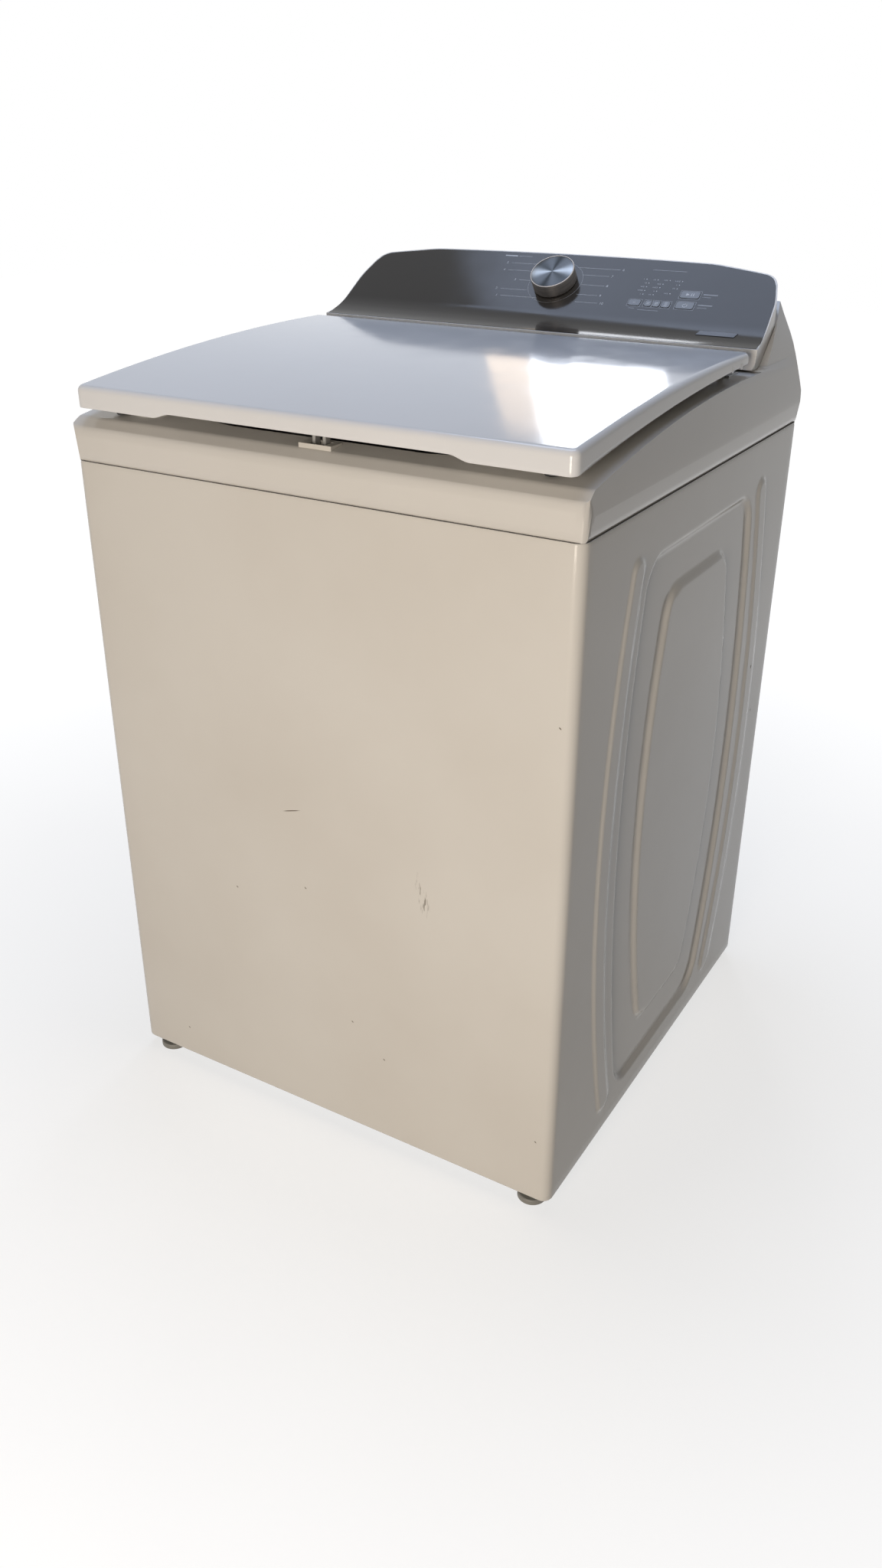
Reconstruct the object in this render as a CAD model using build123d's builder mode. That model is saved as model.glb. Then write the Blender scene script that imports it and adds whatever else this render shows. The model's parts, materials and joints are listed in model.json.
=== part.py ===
from build123d import *
import math
import os

os.makedirs("parts", exist_ok=True)

# A top load washing machine. The origin is on the floor under the middle of the machine,
# the front faces -Y, +X is to the right of someone who stands in front, and +Z is up.
# Lengths are millimetres and angles are degrees.

# Cabinet: one steel sheet folded round the front and sides, open behind and below.
cabinet_width = 692.0
cabinet_depth = 703.0
cabinet_bottom = 18.0
cabinet_top = 904.0
cabinet_corner = 14.0
sheet = 1.2
rear_flange = 24.0

# Pressings in the cabinet's sides: two bowed ribs, and a sunk ring round a raised middle.
press_depth = 3.0
press_draft = 45.0
press_centre = 6.0
ring_margins = (42.0, 62.0)
ring_halves = (150.0, 208.0, 175.0)
ring_corner = 40.0
middle_margins = (112.0, 120.0)
middle_halves = (80.0, 137.0, 98.0)
middle_corner = 30.0
rib_margins = (58.0, 70.0)
rib_reaches = (196.0, 252.0, 211.0)
rib_width = 38.0

# Top panel: bulged walls, a crowned deck and two ears that sweep up beside the console.
panel_sheet = 1.5
panel_bulge = 3.5
panel_bulge_front = 2.5
panel_corner = 17.0
panel_trim = 0.1
panel_crease = 41.0
deck_rise_front = 51.0
deck_rise_middle = 77.0
deck_rise_rear = 89.0
deck_front_inset = 18.0
deck_crown = 0.38
crease_roll = 8.0
crease_blends = (18.0, 18.0, 11.0, 18.0)
bulge_blend = 15.0
bulge_height = 26.0
ear_waist = (13.5, 4.0)
ear_tip = (40.5, 84.0)
ear_stand = 31.0
ear_sweep = 60.0
opening_side = 101.0
opening_front = 46.5
opening_rear = 226.5
opening_corner = 120.0
throat_drop = 21.0
dispenser_inset = (84.0, 66.5)
dispenser_reach = (112.0, 125.0)
dispenser_radius = 26.0
dispenser_depth = 54.0
dispenser_wall = 2.0
dispenser_lip = 4.0
dispenser_spout = 8.0

# Console: a pod whose face leans back, with a hollow lower edge.
face_tilt = 36.0
face_inset = 85.5
face_rise = 171.0
face_top = 56.3
face_margins = (121.0, 37.0, 23.0, 15.0)
face_heights = (52.8, 37.0, -10.0, -104.0)
face_blends = (150.0, 18.0, 110.0)
console_run = 150.0
console_skirt = 25.0
hollow_start = -54.4
lip_inset = 179.5
lip_rise = 118.0
console_rise = 92.0
console_rim = 2.5
console_draft = 8.0
console_wall = 4.0
console_gap = 0.3
fascia_thickness = 2.4
fascia_ledge = 8.0
back_reaches = (2.5, -22.5, -33.5)
back_rises = (21.0, 111.0, 208.8)

# Lid: a crowned steel skin over a moulded liner.
lid_side = 13.0
lid_overhang = 0.5
lid_inset = 201.5
lid_sheet = 0.9
lid_corner = 10.0
lid_edge = 7.0
lid_hem = 7.0
lid_top_rises = (90.2, 113.1, 118.3)
lid_low_rises = (64.2, 92.5, 104.0)
liner_thickness = 2.6
scoop_width = 380.0
scoop_ramp = 20.0
scoop_height = 6.0
scoop_depth = 20.0

# Lid hinge: pins along X that turn in brackets on the deck.
hinge_inset = 207.5
hinge_rise = 106.0
hinge_side = 46.0
hinge_pin = 3.0
hinge_ear_width = 8.0
hinge_ear = 5.5
running_gap = 0.06

# Lid lock: a sliding bolt that enters the strike's windows.
lock_x = 7.0
lock_inset = 30.5
lock_width = 64.0
lock_depth = 28.0
lock_rise = 21.0
lock_collar = (44.0, 22.0)
lock_slot = (24.0, 18.0)
lock_slot_shift = -2.5
lock_proud = 3.0
prong_pitch = 14.0
prong_width = 4.0
prong_depth = 9.0
prong_rise = 32.0
window_radius = 3.2
bolt_radius = 2.5
bolt_rise = 41.0
bolt_length = 20.5
bolt_tip = 10.5

# Knob and keys on the console's face; a key is (x, height on the face, width, height).
knob_radius = 31.75
knob_height = 20.0
knob_gap = 0.6
knob_wall = 3.0
knob_shaft = 3.0
knob_clearance = 1.0
key_places = {
    "start_key": (205.0, -7.0, 27.0, 13.0),
    "power_key": (204.5, -27.0, 25.0, 13.0),
    "option_key_1": (132.0, -28.0, 17.0, 11.0),
    "option_key_2": (152.0, -28.0, 10.0, 11.0),
    "option_key_3": (164.0, -28.0, 10.0, 11.0),
    "option_key_4": (177.5, -28.0, 12.0, 11.0),
}
key_gap = 0.3
key_corner = 3.0
key_proud = 0.6
key_depth = 7.0
key_travel = 1.0
key_flange = 0.8
board_depth = 14.0
board_thickness = 1.6
board_size = (270.0, 70.0)
board_centre = (92.0, -13.0)
badge_size = (52.0, 9.0)
badge_slant = 1.5
badge_thickness = 0.8
badge_inset = (79.0, 148.5)

# Base, feet and rear panel.
base_low = 20.0
base_height = 30.0
base_flange = 46.0
base_sheet = 2.0
fit_gap = 0.3
foot_inset_x = 34.0
foot_inset_y = 23.5
foot_radius = 20.0
foot_height = 8.0
foot_stem = 6.0
foot_top = 52.0
rear_sheet = 0.8
tray_side = 86.0
tray_height = 80.0
tray_depth = 30.0
screw_radius = 1.9
screw_head = 4.2
screw_head_height = 2.0
screw_length = 5.0
screw_margin = 1.0
rear_screw_count = 4
rear_screw_margins = (42.0, 34.0)

# Water and power connections in the rear tray.
port_radius = 13.3
port_length = 27.0
port_bore = 9.0
valve_inset = 131.0
port_pitch = 60.0
port_drop = 64.0
drain_inset = 116.0
drain_radius = 15.0
drain_bore = 12.0
drain_flange = (20.0, 3.0)
sleeve_gap = 1.5
bush_x = 120.0
bush_radius = 9.0
bush_bore = 4.5
spout_radius = 10.0
spout_wall = 1.5
spout_rise = 5.0
spout_reach = (120.0, 220.3)
spout_bend = 25.0
outlet_bend = 20.0

# Tub, hung on four rods with springs.
tub_y = -8.0
tub_radius = 288.0
tub_wall = 3.0
tub_low = 196.0
tub_drop = 42.0
tub_ring_width = 52.0
tub_ring_height = 22.0
rod_inset = (46.0, 46.5)
rod_radius = 4.5
rod_ball = 11.0
rod_cap_low = 196.0
rod_cap_height = 6.0
rod_cap_radius = 24.0
bracket_drop = 12.0
bracket_size = 76.0
bracket_sheet = 3.0
ear_low = 262.0
ear_height = 12.0
ear_width = 46.0
ear_hole = 14.0
ear_ring = 26.0
seal_radius = 30.0
spring_radius = 18.0
spring_wire = 2.2
spring_turns = 6

# Basket and agitator, which turn about the tub's axis.
basket_gap = 26.0
basket_wall = 1.5
basket_low = 232.0
basket_drop = 14.0
basket_floor = 12.0
balance_width = 36.0
balance_height = 44.0
drain_hole = 4.0
drain_rows = 5
drain_columns = 12
spin_tube = 20.0
spin_tube_low = 92.0
hub_radius = 46.0
plate_radius = 150.0
plate_low = 250.0
post_low_radius = 58.0
post_high_radius = 42.0
post_high = 640.0
vane_count = 4
vane_thickness = 8.0
vane_foot = (5.0, 6.0, 26.0)
vane_shoulder = (6.0, 150.0)
vane_root = (3.0, 165.0)
plate_rises = (7.0, 22.0)
flare_rise = 70.0
boss_rise = 40.0
cup_height = 60.0
cup_wall = 2.0
shaft_radius = 10.0
shaft_low = 64.0

# Drive under the tub.
pulley_low = 72.0
pulley_height = 16.0
pulley_radius = 95.0
motor_radius = 62.0
motor_distance = 185.0
motor_low = 98.0
motor_pulley = 16.0
motor_shaft = 6.0
belt_thickness = 3.0
belt_gap = 0.3
bearing_outer = 32.0
bearing_height = 15.0
housing_radius = 45.0
housing_flange = 110.0
slider_low = 94.0
slider_height = 12.0
slider_radius = 34.0
pump_offset = 80.0
nozzle_reach = 40.0
nozzle_height = 130.0
pump_y = 170.0
pump_radius = 40.0
pump_low = 106.0
impeller_radius = 28.0
hose_radius = 13.0
hose_wall = 3.0
hose_joint = 60.0
hose_gap = 20.3
hose_bends = (18.0, 55.0)

# Values that follow from the ones above.
half_width = cabinet_width / 2
half_depth = cabinet_depth / 2
deck_crown_y = -deck_crown * half_depth
opening_width = cabinet_width - 2 * opening_side
opening_depth = cabinet_depth - opening_front - opening_rear
opening_centre = (opening_front - opening_rear) / 2
dispenser_x = dispenser_inset[0] - half_width
dispenser_y = dispenser_inset[1] - half_depth
face_centre_y = half_depth - face_inset
face_centre_z = cabinet_top + face_rise
face_shoulder, face_corner, face_cheek, face_foot = [
    (half_width - margin, up) for margin, up in zip(face_margins, face_heights)
]
lip_front = half_depth - lip_inset
lip_height = cabinet_top + lip_rise
console_base = cabinet_top + console_rise
back_foot, back_waist, back_top = [
    (half_depth + reach, cabinet_top + rise) for reach, rise in zip(back_reaches, back_rises)
]
lid_width = cabinet_width - 2 * lid_side
lid_front = -half_depth - lid_overhang
lid_rear = half_depth - lid_inset
lid_top_heights = [cabinet_top + rise for rise in lid_top_rises]
lid_low_heights = [cabinet_top + rise for rise in lid_low_rises]
hinge_x = half_width - hinge_side
hinge_y = half_depth - hinge_inset
hinge_z = cabinet_top + hinge_rise
lock_y = lock_inset - half_depth
lock_low = cabinet_top + lock_rise
prong_low = cabinet_top + prong_rise
bolt_height = cabinet_top + bolt_rise
badge_centre = (half_width - badge_inset[0], half_depth - badge_inset[1])
port_height = cabinet_top - port_drop
tray_width = cabinet_width - 2 * tray_side
tray_low = port_height - tray_height / 2
tray_high = port_height + tray_height / 2
rear_screw_low = cabinet_bottom + rear_screw_margins[0]
rear_screw_pitch = (cabinet_top - rear_screw_margins[1] - rear_screw_low) / (rear_screw_count - 1)
rear_screw_heights = [rear_screw_low + place * rear_screw_pitch for place in range(rear_screw_count)]
valve_x = valve_inset - half_width
drain_x = half_width - drain_inset
spout_height = cabinet_top + spout_rise
tub_high = cabinet_top - tub_drop
tub_ring_inner = tub_radius - tub_ring_width
rod_x = half_width - rod_inset[0]
rod_y = half_depth - rod_inset[1]
bracket_height = cabinet_top - bracket_drop
basket_radius = tub_radius - basket_gap
basket_high = tub_high - basket_drop
pump_x = drain_x - pump_offset
hose_top = port_height - hose_joint
panel_half_width = half_width + panel_bulge
panel_under = cabinet_top - 10.0
panel_half_depth = half_depth + panel_bulge_front
deck_rear_z = cabinet_top + deck_rise_rear
rear_face = half_depth - sheet
tray_face = rear_face - tray_depth
foot_x = half_width - foot_inset_x
foot_y = half_depth - foot_inset_y
face_sin = math.sin(math.radians(face_tilt))
face_cos = math.cos(math.radians(face_tilt))
tub_axis = Axis((0, tub_y, 0), (0, 0, 1))
tub_section = Plane.XZ.offset(-tub_y)
shaft_line = (0, tub_y)
low_align = (Align.CENTER, Align.CENTER, Align.MIN)
high_align = (Align.CENTER, Align.CENTER, Align.MAX)


def save(piece, name):
    """Label a finished piece and write it as a STEP file of its own."""
    piece.part.label = name
    export_step(piece.part, f"parts/{name}.step")


def circle_through(first, second, third):
    """Return the centre and the radius of the circle through three points."""
    (ax, ay), (bx, by), (cx, cy) = first, second, third
    doubled = 2 * (ax * (by - cy) + bx * (cy - ay) + cx * (ay - by))
    a2, b2, c2 = ax * ax + ay * ay, bx * bx + by * by, cx * cx + cy * cy
    x = (a2 * (by - cy) + b2 * (cy - ay) + c2 * (ay - by)) / doubled
    y = (a2 * (cx - bx) + b2 * (ax - cx) + c2 * (bx - ax)) / doubled
    return x, y, math.hypot(ax - x, ay - y)


def height_on(points, along):
    """Return the height, at a place along it, of a crowned arc through three points."""
    x, y, radius = circle_through(*points)
    return y + math.sqrt(radius**2 - (along - x) ** 2)


def face_point(up, lift=0.0):
    """Return (y, z) of a point up the console's face from its centre, lifted off it."""
    y = face_centre_y + up * face_cos - lift * face_sin
    z = face_centre_z + up * face_sin + lift * face_cos
    return y, z


def face_plane(lift=0.0):
    """Return the plane of the console's face, lifted; its y runs up the face."""
    return Plane(origin=(0, *face_point(0, lift)), x_dir=(1, 0, 0), z_dir=(0, -face_sin, face_cos))


# ------------------------------------------------------------------ cabinet wrapper


def bowed_panel(margins, halves, corner):
    """Return a panel outline that bows out at mid height, in the side's (y, z)."""
    low = cabinet_bottom + margins[0]
    high = cabinet_top - margins[1]
    places = list(zip(halves, (low, (low + high) / 2, high)))[::-1]
    with BuildSketch() as outline:
        with BuildLine():
            front = ThreePointArc(*[(press_centre - half, z) for half, z in places])
            rear = ThreePointArc(*[(press_centre + half, z) for half, z in reversed(places)])
            Line(front @ 1, rear @ 0)
            Line(rear @ 1, front @ 0)
        make_face()
        fillet(vertices(), corner)
    return outline.sketch


def bowed_ribs():
    """Return the two rib outlines, one before and one behind the side's panel."""
    low = cabinet_bottom + rib_margins[0]
    high = cabinet_top - rib_margins[1]
    middle = (low + high) / 2
    with BuildSketch() as outline:
        for side in (-1, 1):
            points = [(press_centre + side * reach, z) for reach, z in zip(rib_reaches, (low, middle, high))]
            with BuildLine():
                spine = ThreePointArc(*points)
            SlotArc(spine, rib_width)
    return outline.sketch


def pressed_block(inset):
    """Return the cabinet's closed form with its pressed sides, drawn in by an inset."""
    side = half_width - inset
    with BuildPart() as block:
        with BuildSketch(Plane.XY.offset(cabinet_bottom)):
            RectangleRounded(2 * side, cabinet_depth - 2 * inset, cabinet_corner - inset)
        extrude(amount=cabinet_top - cabinet_bottom)
        with BuildSketch(Plane.YZ.offset(side)):
            add(bowed_panel(ring_margins, ring_halves, ring_corner))
        extrude(amount=-press_depth, taper=press_draft, mode=Mode.SUBTRACT)
        with BuildSketch(Plane.YZ.offset(side - press_depth)):
            add(bowed_panel(middle_margins, middle_halves, middle_corner))
        extrude(amount=press_depth, taper=press_draft)
        with BuildSketch(Plane.YZ.offset(side)):
            add(bowed_ribs())
        extrude(amount=press_depth, taper=press_draft)
        split(bisect_by=Plane.YZ)
        mirror(about=Plane.YZ)
    return block.part


def rear_screw_places(y):
    """Return the places of the rear panel's screws, at a depth y."""
    x = half_width - cabinet_corner - screw_head - screw_margin
    return [(side * x, y, z) for side in (-1, 1) for z in rear_screw_heights]


with BuildPart() as cabinet_wrapper:
    add(pressed_block(0))
    add(pressed_block(sheet), mode=Mode.SUBTRACT)
    with Locations((0, half_depth, (cabinet_bottom + cabinet_top) / 2)):
        Box(cabinet_width - 2 * rear_flange, 4 * sheet, cabinet_top, mode=Mode.SUBTRACT)
    with Locations(*[Location(place, (90, 0, 0)) for place in rear_screw_places(half_depth)]):
        Cylinder(screw_radius + running_gap, 6 * sheet, mode=Mode.SUBTRACT)
save(cabinet_wrapper, "cabinet_wrapper")

# ------------------------------------------------------------------ rear panel

port_places = [(valve_x + side * port_pitch / 2, port_height) for side in (-1, 1)]
bead_margin = 60.0
bead_width = 30.0
bead_depth = 4.0
bead_x = 160.0

with BuildPart() as rear_panel:
    with BuildSketch(Plane.XZ.offset(-rear_face)):
        with Locations((0, (cabinet_bottom + cabinet_top) / 2)):
            Rectangle(2 * (half_width - cabinet_corner - fit_gap), cabinet_top - cabinet_bottom - 2 * fit_gap)
    extrude(amount=rear_sheet)
    with Locations((0, (rear_face + tray_face) / 2, port_height)):
        Box(tray_width, tray_depth, tray_high - tray_low)
    with Locations((0, rear_face, port_height)):
        Box(
            tray_width - 2 * rear_sheet,
            2 * (tray_depth - rear_sheet),
            tray_high - tray_low - 2 * rear_sheet,
            mode=Mode.SUBTRACT,
        )
    bead_low = cabinet_bottom + bead_margin
    bead_high = tray_low - bead_margin
    for wall, cut in ((0.0, Mode.ADD), (rear_sheet, Mode.SUBTRACT)):
        with BuildSketch(Plane.XZ.offset(-rear_face)):
            with Locations(*[(side * bead_x, (bead_low + bead_high) / 2) for side in (-1, 1)]):
                SlotOverall(bead_high - bead_low - 2 * wall, bead_width - 2 * wall, rotation=90)
        extrude(amount=bead_depth - wall, mode=cut)
    with BuildSketch(Plane.XZ.offset(-rear_face)):
        with Locations(*port_places):
            Circle(port_radius + sleeve_gap)
        with Locations((drain_x, port_height)):
            Circle(drain_radius + sleeve_gap)
        with Locations((bush_x, port_height)):
            Circle(bush_radius)
    extrude(amount=2 * tray_depth, mode=Mode.SUBTRACT)
    with Locations(*[Location(place, (90, 0, 0)) for place in rear_screw_places(rear_face)]):
        Cylinder(screw_radius + running_gap, 6 * sheet, mode=Mode.SUBTRACT)
save(rear_panel, "rear_panel")

with BuildPart() as rear_screws:
    with Locations(*[Location(place, (-90, 0, 0)) for place in rear_screw_places(half_depth)]):
        Cylinder(screw_head, screw_head_height, align=low_align)
        Cylinder(screw_radius, screw_length, align=high_align)
save(rear_screws, "rear_screws")

# ------------------------------------------------------------------ base frame and feet

foot_places = {
    "foot_front_left": (-foot_x, -foot_y),
    "foot_front_right": (foot_x, -foot_y),
    "foot_rear_left": (-foot_x, foot_y),
    "foot_rear_right": (foot_x, foot_y),
}
base_width = cabinet_width - 2 * (sheet + fit_gap)
base_depth = 2 * (rear_face - rear_sheet - fit_gap)
base_corner = cabinet_corner - sheet
nut_radius = 14.0
nut_height = 24.0

with BuildPart() as base_frame:
    for wall, height in ((base_flange, base_sheet), (base_sheet, base_height)):
        with BuildSketch(Plane.XY.offset(base_low)):
            RectangleRounded(base_width, base_depth, base_corner)
            Rectangle(base_width - 2 * wall, base_depth - 2 * wall, mode=Mode.SUBTRACT)
        extrude(amount=height)
    with Locations(*[(x, y, base_low) for x, y in foot_places.values()]):
        Cylinder(nut_radius, nut_height, align=low_align)
        Cylinder(foot_stem + running_gap, nut_height, align=low_align, mode=Mode.SUBTRACT)
save(base_frame, "base_frame")

wrench_radius = 12.0
wrench_height = 7.0

for foot_name, (x, y) in foot_places.items():
    with BuildPart() as foot:
        with Locations((x, y, 0)):
            Cylinder(foot_radius, foot_height, align=low_align)
        fillet(foot.edges().group_by(Axis.Z)[-1], 2.5)
        with BuildSketch(Plane.XY.offset(foot_height)):
            with Locations((x, y)):
                RegularPolygon(wrench_radius, 6)
        extrude(amount=wrench_height)
        with Locations((x, y, foot_height)):
            Cylinder(foot_stem, foot_top - foot_height, align=low_align)
    save(foot, foot_name)

# ------------------------------------------------------------------ top panel and console forms

deck_arc = [
    (-panel_half_depth + deck_front_inset, cabinet_top + deck_rise_front),
    (deck_crown_y, cabinet_top + deck_rise_middle),
    (lid_rear, deck_rear_z),
]
hollow_tangent = face_point(hollow_start)
hollow_reach = (lip_front - hollow_tangent[0], lip_height - hollow_tangent[1])
hollow_radius = (hollow_reach[0] ** 2 + hollow_reach[1] ** 2) / (
    2 * (-hollow_reach[0] * face_sin + hollow_reach[1] * face_cos)
)
hollow_centre = face_point(hollow_start, hollow_radius)


def behind_profile():
    """Return the region, in (y, z), that the machine's swept back leaves in front of it."""
    far = -cabinet_depth
    with BuildSketch() as region:
        with BuildLine():
            back = ThreePointArc(back_foot, back_waist, back_top)
            Polyline(back @ 1, (far, back_top[1]), (far, 0), (back_foot[0], 0), back @ 0)
        make_face()
    return region.sketch


def hollow_points(drop):
    """Return the ends and middle of the face's hollow, sunk into the console by a drop."""
    reach = hollow_radius + drop
    y, z = hollow_centre
    start = math.atan2(-face_cos, face_sin)
    end = math.atan2(lip_height - z, lip_front - y)
    if end > 0:
        end -= 2 * math.pi
    turns = (start, (start + end) / 2, end)
    return [(y + reach * math.cos(turn), z + reach * math.sin(turn)) for turn in turns]


def face_strip(high, low):
    """Return the band, in (y, z), between two depths under the console's face."""
    upper = hollow_points(high)
    lower = hollow_points(low)
    with BuildSketch() as band:
        with BuildLine():
            ThreePointArc(*upper)
            Line(upper[2], lower[2])
            ThreePointArc(*lower)
            Polyline(lower[0], face_point(2 * face_top, -low), face_point(2 * face_top, -high), upper[0])
        make_face()
    return band.sketch


def console_profile():
    """Return the console's side outline, in (y, z), from below the deck to its top edge."""
    curve = hollow_points(0)
    with BuildSketch() as outline:
        with BuildLine():
            ThreePointArc(*curve)
            Polyline(
                curve[2],
                (lip_front, back_foot[1]),
                (cabinet_depth, back_foot[1]),
                face_point(3 * face_top),
                curve[0],
            )
        make_face()
        add(behind_profile(), mode=Mode.INTERSECT)
    return outline.sketch


def face_outline(foot_drop=0.0):
    """Return the fascia's outline on the console's face, with its foot moved down."""
    right = [face_shoulder, face_corner, face_cheek, (face_foot[0], face_foot[1] - foot_drop)]
    left = [(-x, up) for x, up in reversed(right)]
    with BuildSketch() as outline:
        with BuildLine():
            crown = ThreePointArc(left[-1], (0, face_top), right[0])
            Polyline(crown @ 1, *right[1:], *left[:-1], crown @ 0)
        make_face()
        for corner, radius in zip((face_shoulder, face_corner, face_cheek), face_blends):
            near = [p for p in vertices() if math.hypot(abs(p.X) - corner[0], p.Y - corner[1]) < 0.01]
            fillet(near, radius)
    return outline.sketch


def face_block(grow, foot_drop=0.0):
    """Return the fascia's outline run back through the console with the mould's draft."""
    lift = lip_height - face_point((lip_front - face_centre_y) / face_cos)[1]
    with BuildPart() as block:
        with BuildSketch(face_plane(lift)):
            add(face_outline(foot_drop))
            offset(amount=grow + lift * math.tan(math.radians(console_draft)), kind=Kind.INTERSECTION)
        extrude(amount=-(lift + console_run), taper=console_draft)
    return block.part


def console_block(inset, base):
    """Return the console's form, drawn in by an inset, down to a base height."""
    with BuildPart() as block:
        add(face_block(console_rim - inset, console_skirt))
        with BuildSketch(Plane.YZ):
            add(console_profile())
            offset(amount=-inset)
        extrude(amount=cabinet_width, both=True, mode=Mode.INTERSECT)
        with Locations((0, 0, base)):
            Box(4 * cabinet_width, 4 * cabinet_depth, cabinet_top, align=high_align, mode=Mode.SUBTRACT)
    return block.part


def panel_block(inset, base):
    """Return the top panel's closed form, drawn in by an inset, down to a base height."""
    low = cabinet_top - throat_drop
    ear_run = (deck_rear_z - face_point(0, -ear_stand)[1]) / face_sin
    ear_foot = face_point(ear_run, -ear_stand)
    front_corners = [
        (-panel_half_depth, cabinet_top + 3 * panel_bulge_front),
        (-panel_half_depth, cabinet_top + panel_crease - crease_roll),
        (-half_depth, cabinet_top + panel_crease),
        deck_arc[0],
    ]
    bulge_foot = (panel_half_width, cabinet_top + 2 * panel_bulge)
    with BuildPart() as block:
        with BuildSketch(Plane.YZ):
            with BuildLine():
                deck = ThreePointArc(*deck_arc)
                Polyline(
                    deck @ 1,
                    ear_foot,
                    face_point(3 * face_top, -ear_stand),
                    (cabinet_depth, low),
                    (-half_depth, low),
                    (-half_depth, cabinet_top),
                    *front_corners[:-1],
                    deck @ 0,
                )
            make_face()
            fillet([p for p in vertices() if abs(p.X - ear_foot[0]) < 0.01], ear_sweep)
            for place, radius in zip(front_corners, crease_blends):
                near = [p for p in vertices() if math.hypot(p.X - place[0], p.Y - place[1]) < 0.01]
                fillet(near, radius)
            add(behind_profile(), mode=Mode.INTERSECT)
            offset(amount=-inset)
        extrude(amount=cabinet_width, both=True)
        with BuildSketch(Plane.XZ):
            with BuildLine():
                right = ThreePointArc(
                    (panel_half_width, cabinet_top + bulge_height),
                    (panel_half_width - ear_waist[0], console_base + ear_waist[1]),
                    (panel_half_width - ear_tip[0], console_base + ear_tip[1]),
                )
                Polyline(
                    right @ 1,
                    (0, console_base + ear_tip[1]),
                    (0, low),
                    (half_width, low),
                    (half_width, cabinet_top),
                    bulge_foot,
                    right @ 0,
                )
            make_face()
            fillet([p for p in vertices() if math.hypot(p.X - bulge_foot[0], p.Y - bulge_foot[1]) < 0.01],
                   bulge_blend)
            mirror(about=Plane.YZ)
            offset(amount=-inset)
        extrude(amount=cabinet_depth, both=True, mode=Mode.INTERSECT)
        with BuildSketch(Plane.XY.offset(base)):
            width = 2 * (panel_half_width + panel_trim - inset)
            depth = 2 * (panel_half_depth + panel_trim - inset)
            RectangleRounded(width, depth, panel_corner - inset)
        extrude(amount=cabinet_depth, mode=Mode.INTERSECT)
    return block.part


panel_form = panel_block(0, cabinet_top)
console_bay = console_block(0, console_base)

with BuildPart() as deck_floor:
    add(panel_form)
    with Locations((0, lip_front + cabinet_depth / 2, console_base)):
        Box(2 * cabinet_width, cabinet_depth, panel_sheet, align=high_align,
            mode=Mode.INTERSECT)

with BuildPart() as throat:
    with BuildSketch(Plane.XY.offset(cabinet_top + throat_drop)):
        with Locations((0, opening_centre)):
            RectangleRounded(
                opening_width + 2 * panel_sheet, opening_depth + 2 * panel_sheet, opening_corner + panel_sheet
            )
    extrude(amount=cabinet_top)
    add(panel_form, mode=Mode.INTERSECT)

with BuildPart() as top_panel:
    add(panel_form)
    add(panel_block(panel_sheet, panel_under), mode=Mode.SUBTRACT)
    add(console_bay, mode=Mode.SUBTRACT)
    add(deck_floor.part)
    add(throat.part)
    with BuildSketch(Plane.XY.offset(cabinet_top)):
        with Locations((0, opening_centre)):
            RectangleRounded(opening_width, opening_depth, opening_corner)
    extrude(amount=cabinet_top, mode=Mode.SUBTRACT)
    with Locations((lock_x, lock_y + lock_slot_shift, cabinet_top)):
        Box(lock_collar[0] + 2 * fit_gap, lock_collar[1] + 2 * fit_gap, cabinet_top, align=low_align,
            mode=Mode.SUBTRACT)
    with Locations((dispenser_x, dispenser_y, cabinet_top)):
        Cylinder(dispenser_radius + 2 * fit_gap, cabinet_top, align=low_align, mode=Mode.SUBTRACT)
save(top_panel, "top_panel")

# ------------------------------------------------------------------ console

with BuildPart() as fascia_plate:
    add(face_block(0))
    with BuildSketch(Plane.YZ):
        add(face_strip(0, fascia_thickness))
    extrude(amount=cabinet_width, both=True, mode=Mode.INTERSECT)

with BuildPart() as face_window:
    add(face_block(-fascia_ledge, -fascia_ledge))
    with BuildSketch(Plane.YZ):
        add(face_strip(fascia_thickness / 2, 3 * console_wall))
    extrude(amount=cabinet_width, both=True, mode=Mode.INTERSECT)

with BuildPart() as console_housing:
    add(console_block(console_gap, console_base))
    add(console_block(console_gap + console_wall, console_base - 2 * console_wall), mode=Mode.SUBTRACT)
    add(fascia_plate.part, mode=Mode.SUBTRACT)
    add(face_window.part, mode=Mode.SUBTRACT)
save(console_housing, "console_housing")

post_radius = 3.5
post_inset = 6.0
post_places = [
    (
        board_centre[0] + side * (board_size[0] / 2 - post_inset),
        board_centre[1] + end * (board_size[1] / 2 - post_inset),
    )
    for side in (-1, 1)
    for end in (-1, 1)
]

with BuildPart() as console_fascia:
    add(fascia_plate.part)
    with BuildSketch(face_plane(-fascia_thickness / 2)):
        with Locations(*post_places):
            Circle(post_radius)
    extrude(amount=fascia_thickness / 2 - board_depth)
    with BuildSketch(face_plane()):
        Circle(knob_shaft + knob_clearance)
        for x, up, width, height in key_places.values():
            with Locations((x, up)):
                RectangleRounded(width + 2 * key_gap, height + 2 * key_gap, key_corner + key_gap)
    extrude(amount=board_depth - fascia_thickness, both=True, mode=Mode.SUBTRACT)
save(console_fascia, "console_fascia")

badge_y = badge_centre[1]
badge_drop = math.sqrt(hollow_radius**2 - (badge_y - hollow_centre[0]) ** 2)
badge_tilt = math.atan2(badge_y - hollow_centre[0], badge_drop)
badge_plane = Plane(
    origin=(badge_centre[0], badge_y, hollow_centre[1] - badge_drop),
    x_dir=(1, 0, 0),
    z_dir=(0, -math.sin(badge_tilt), math.cos(badge_tilt)),
)

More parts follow.
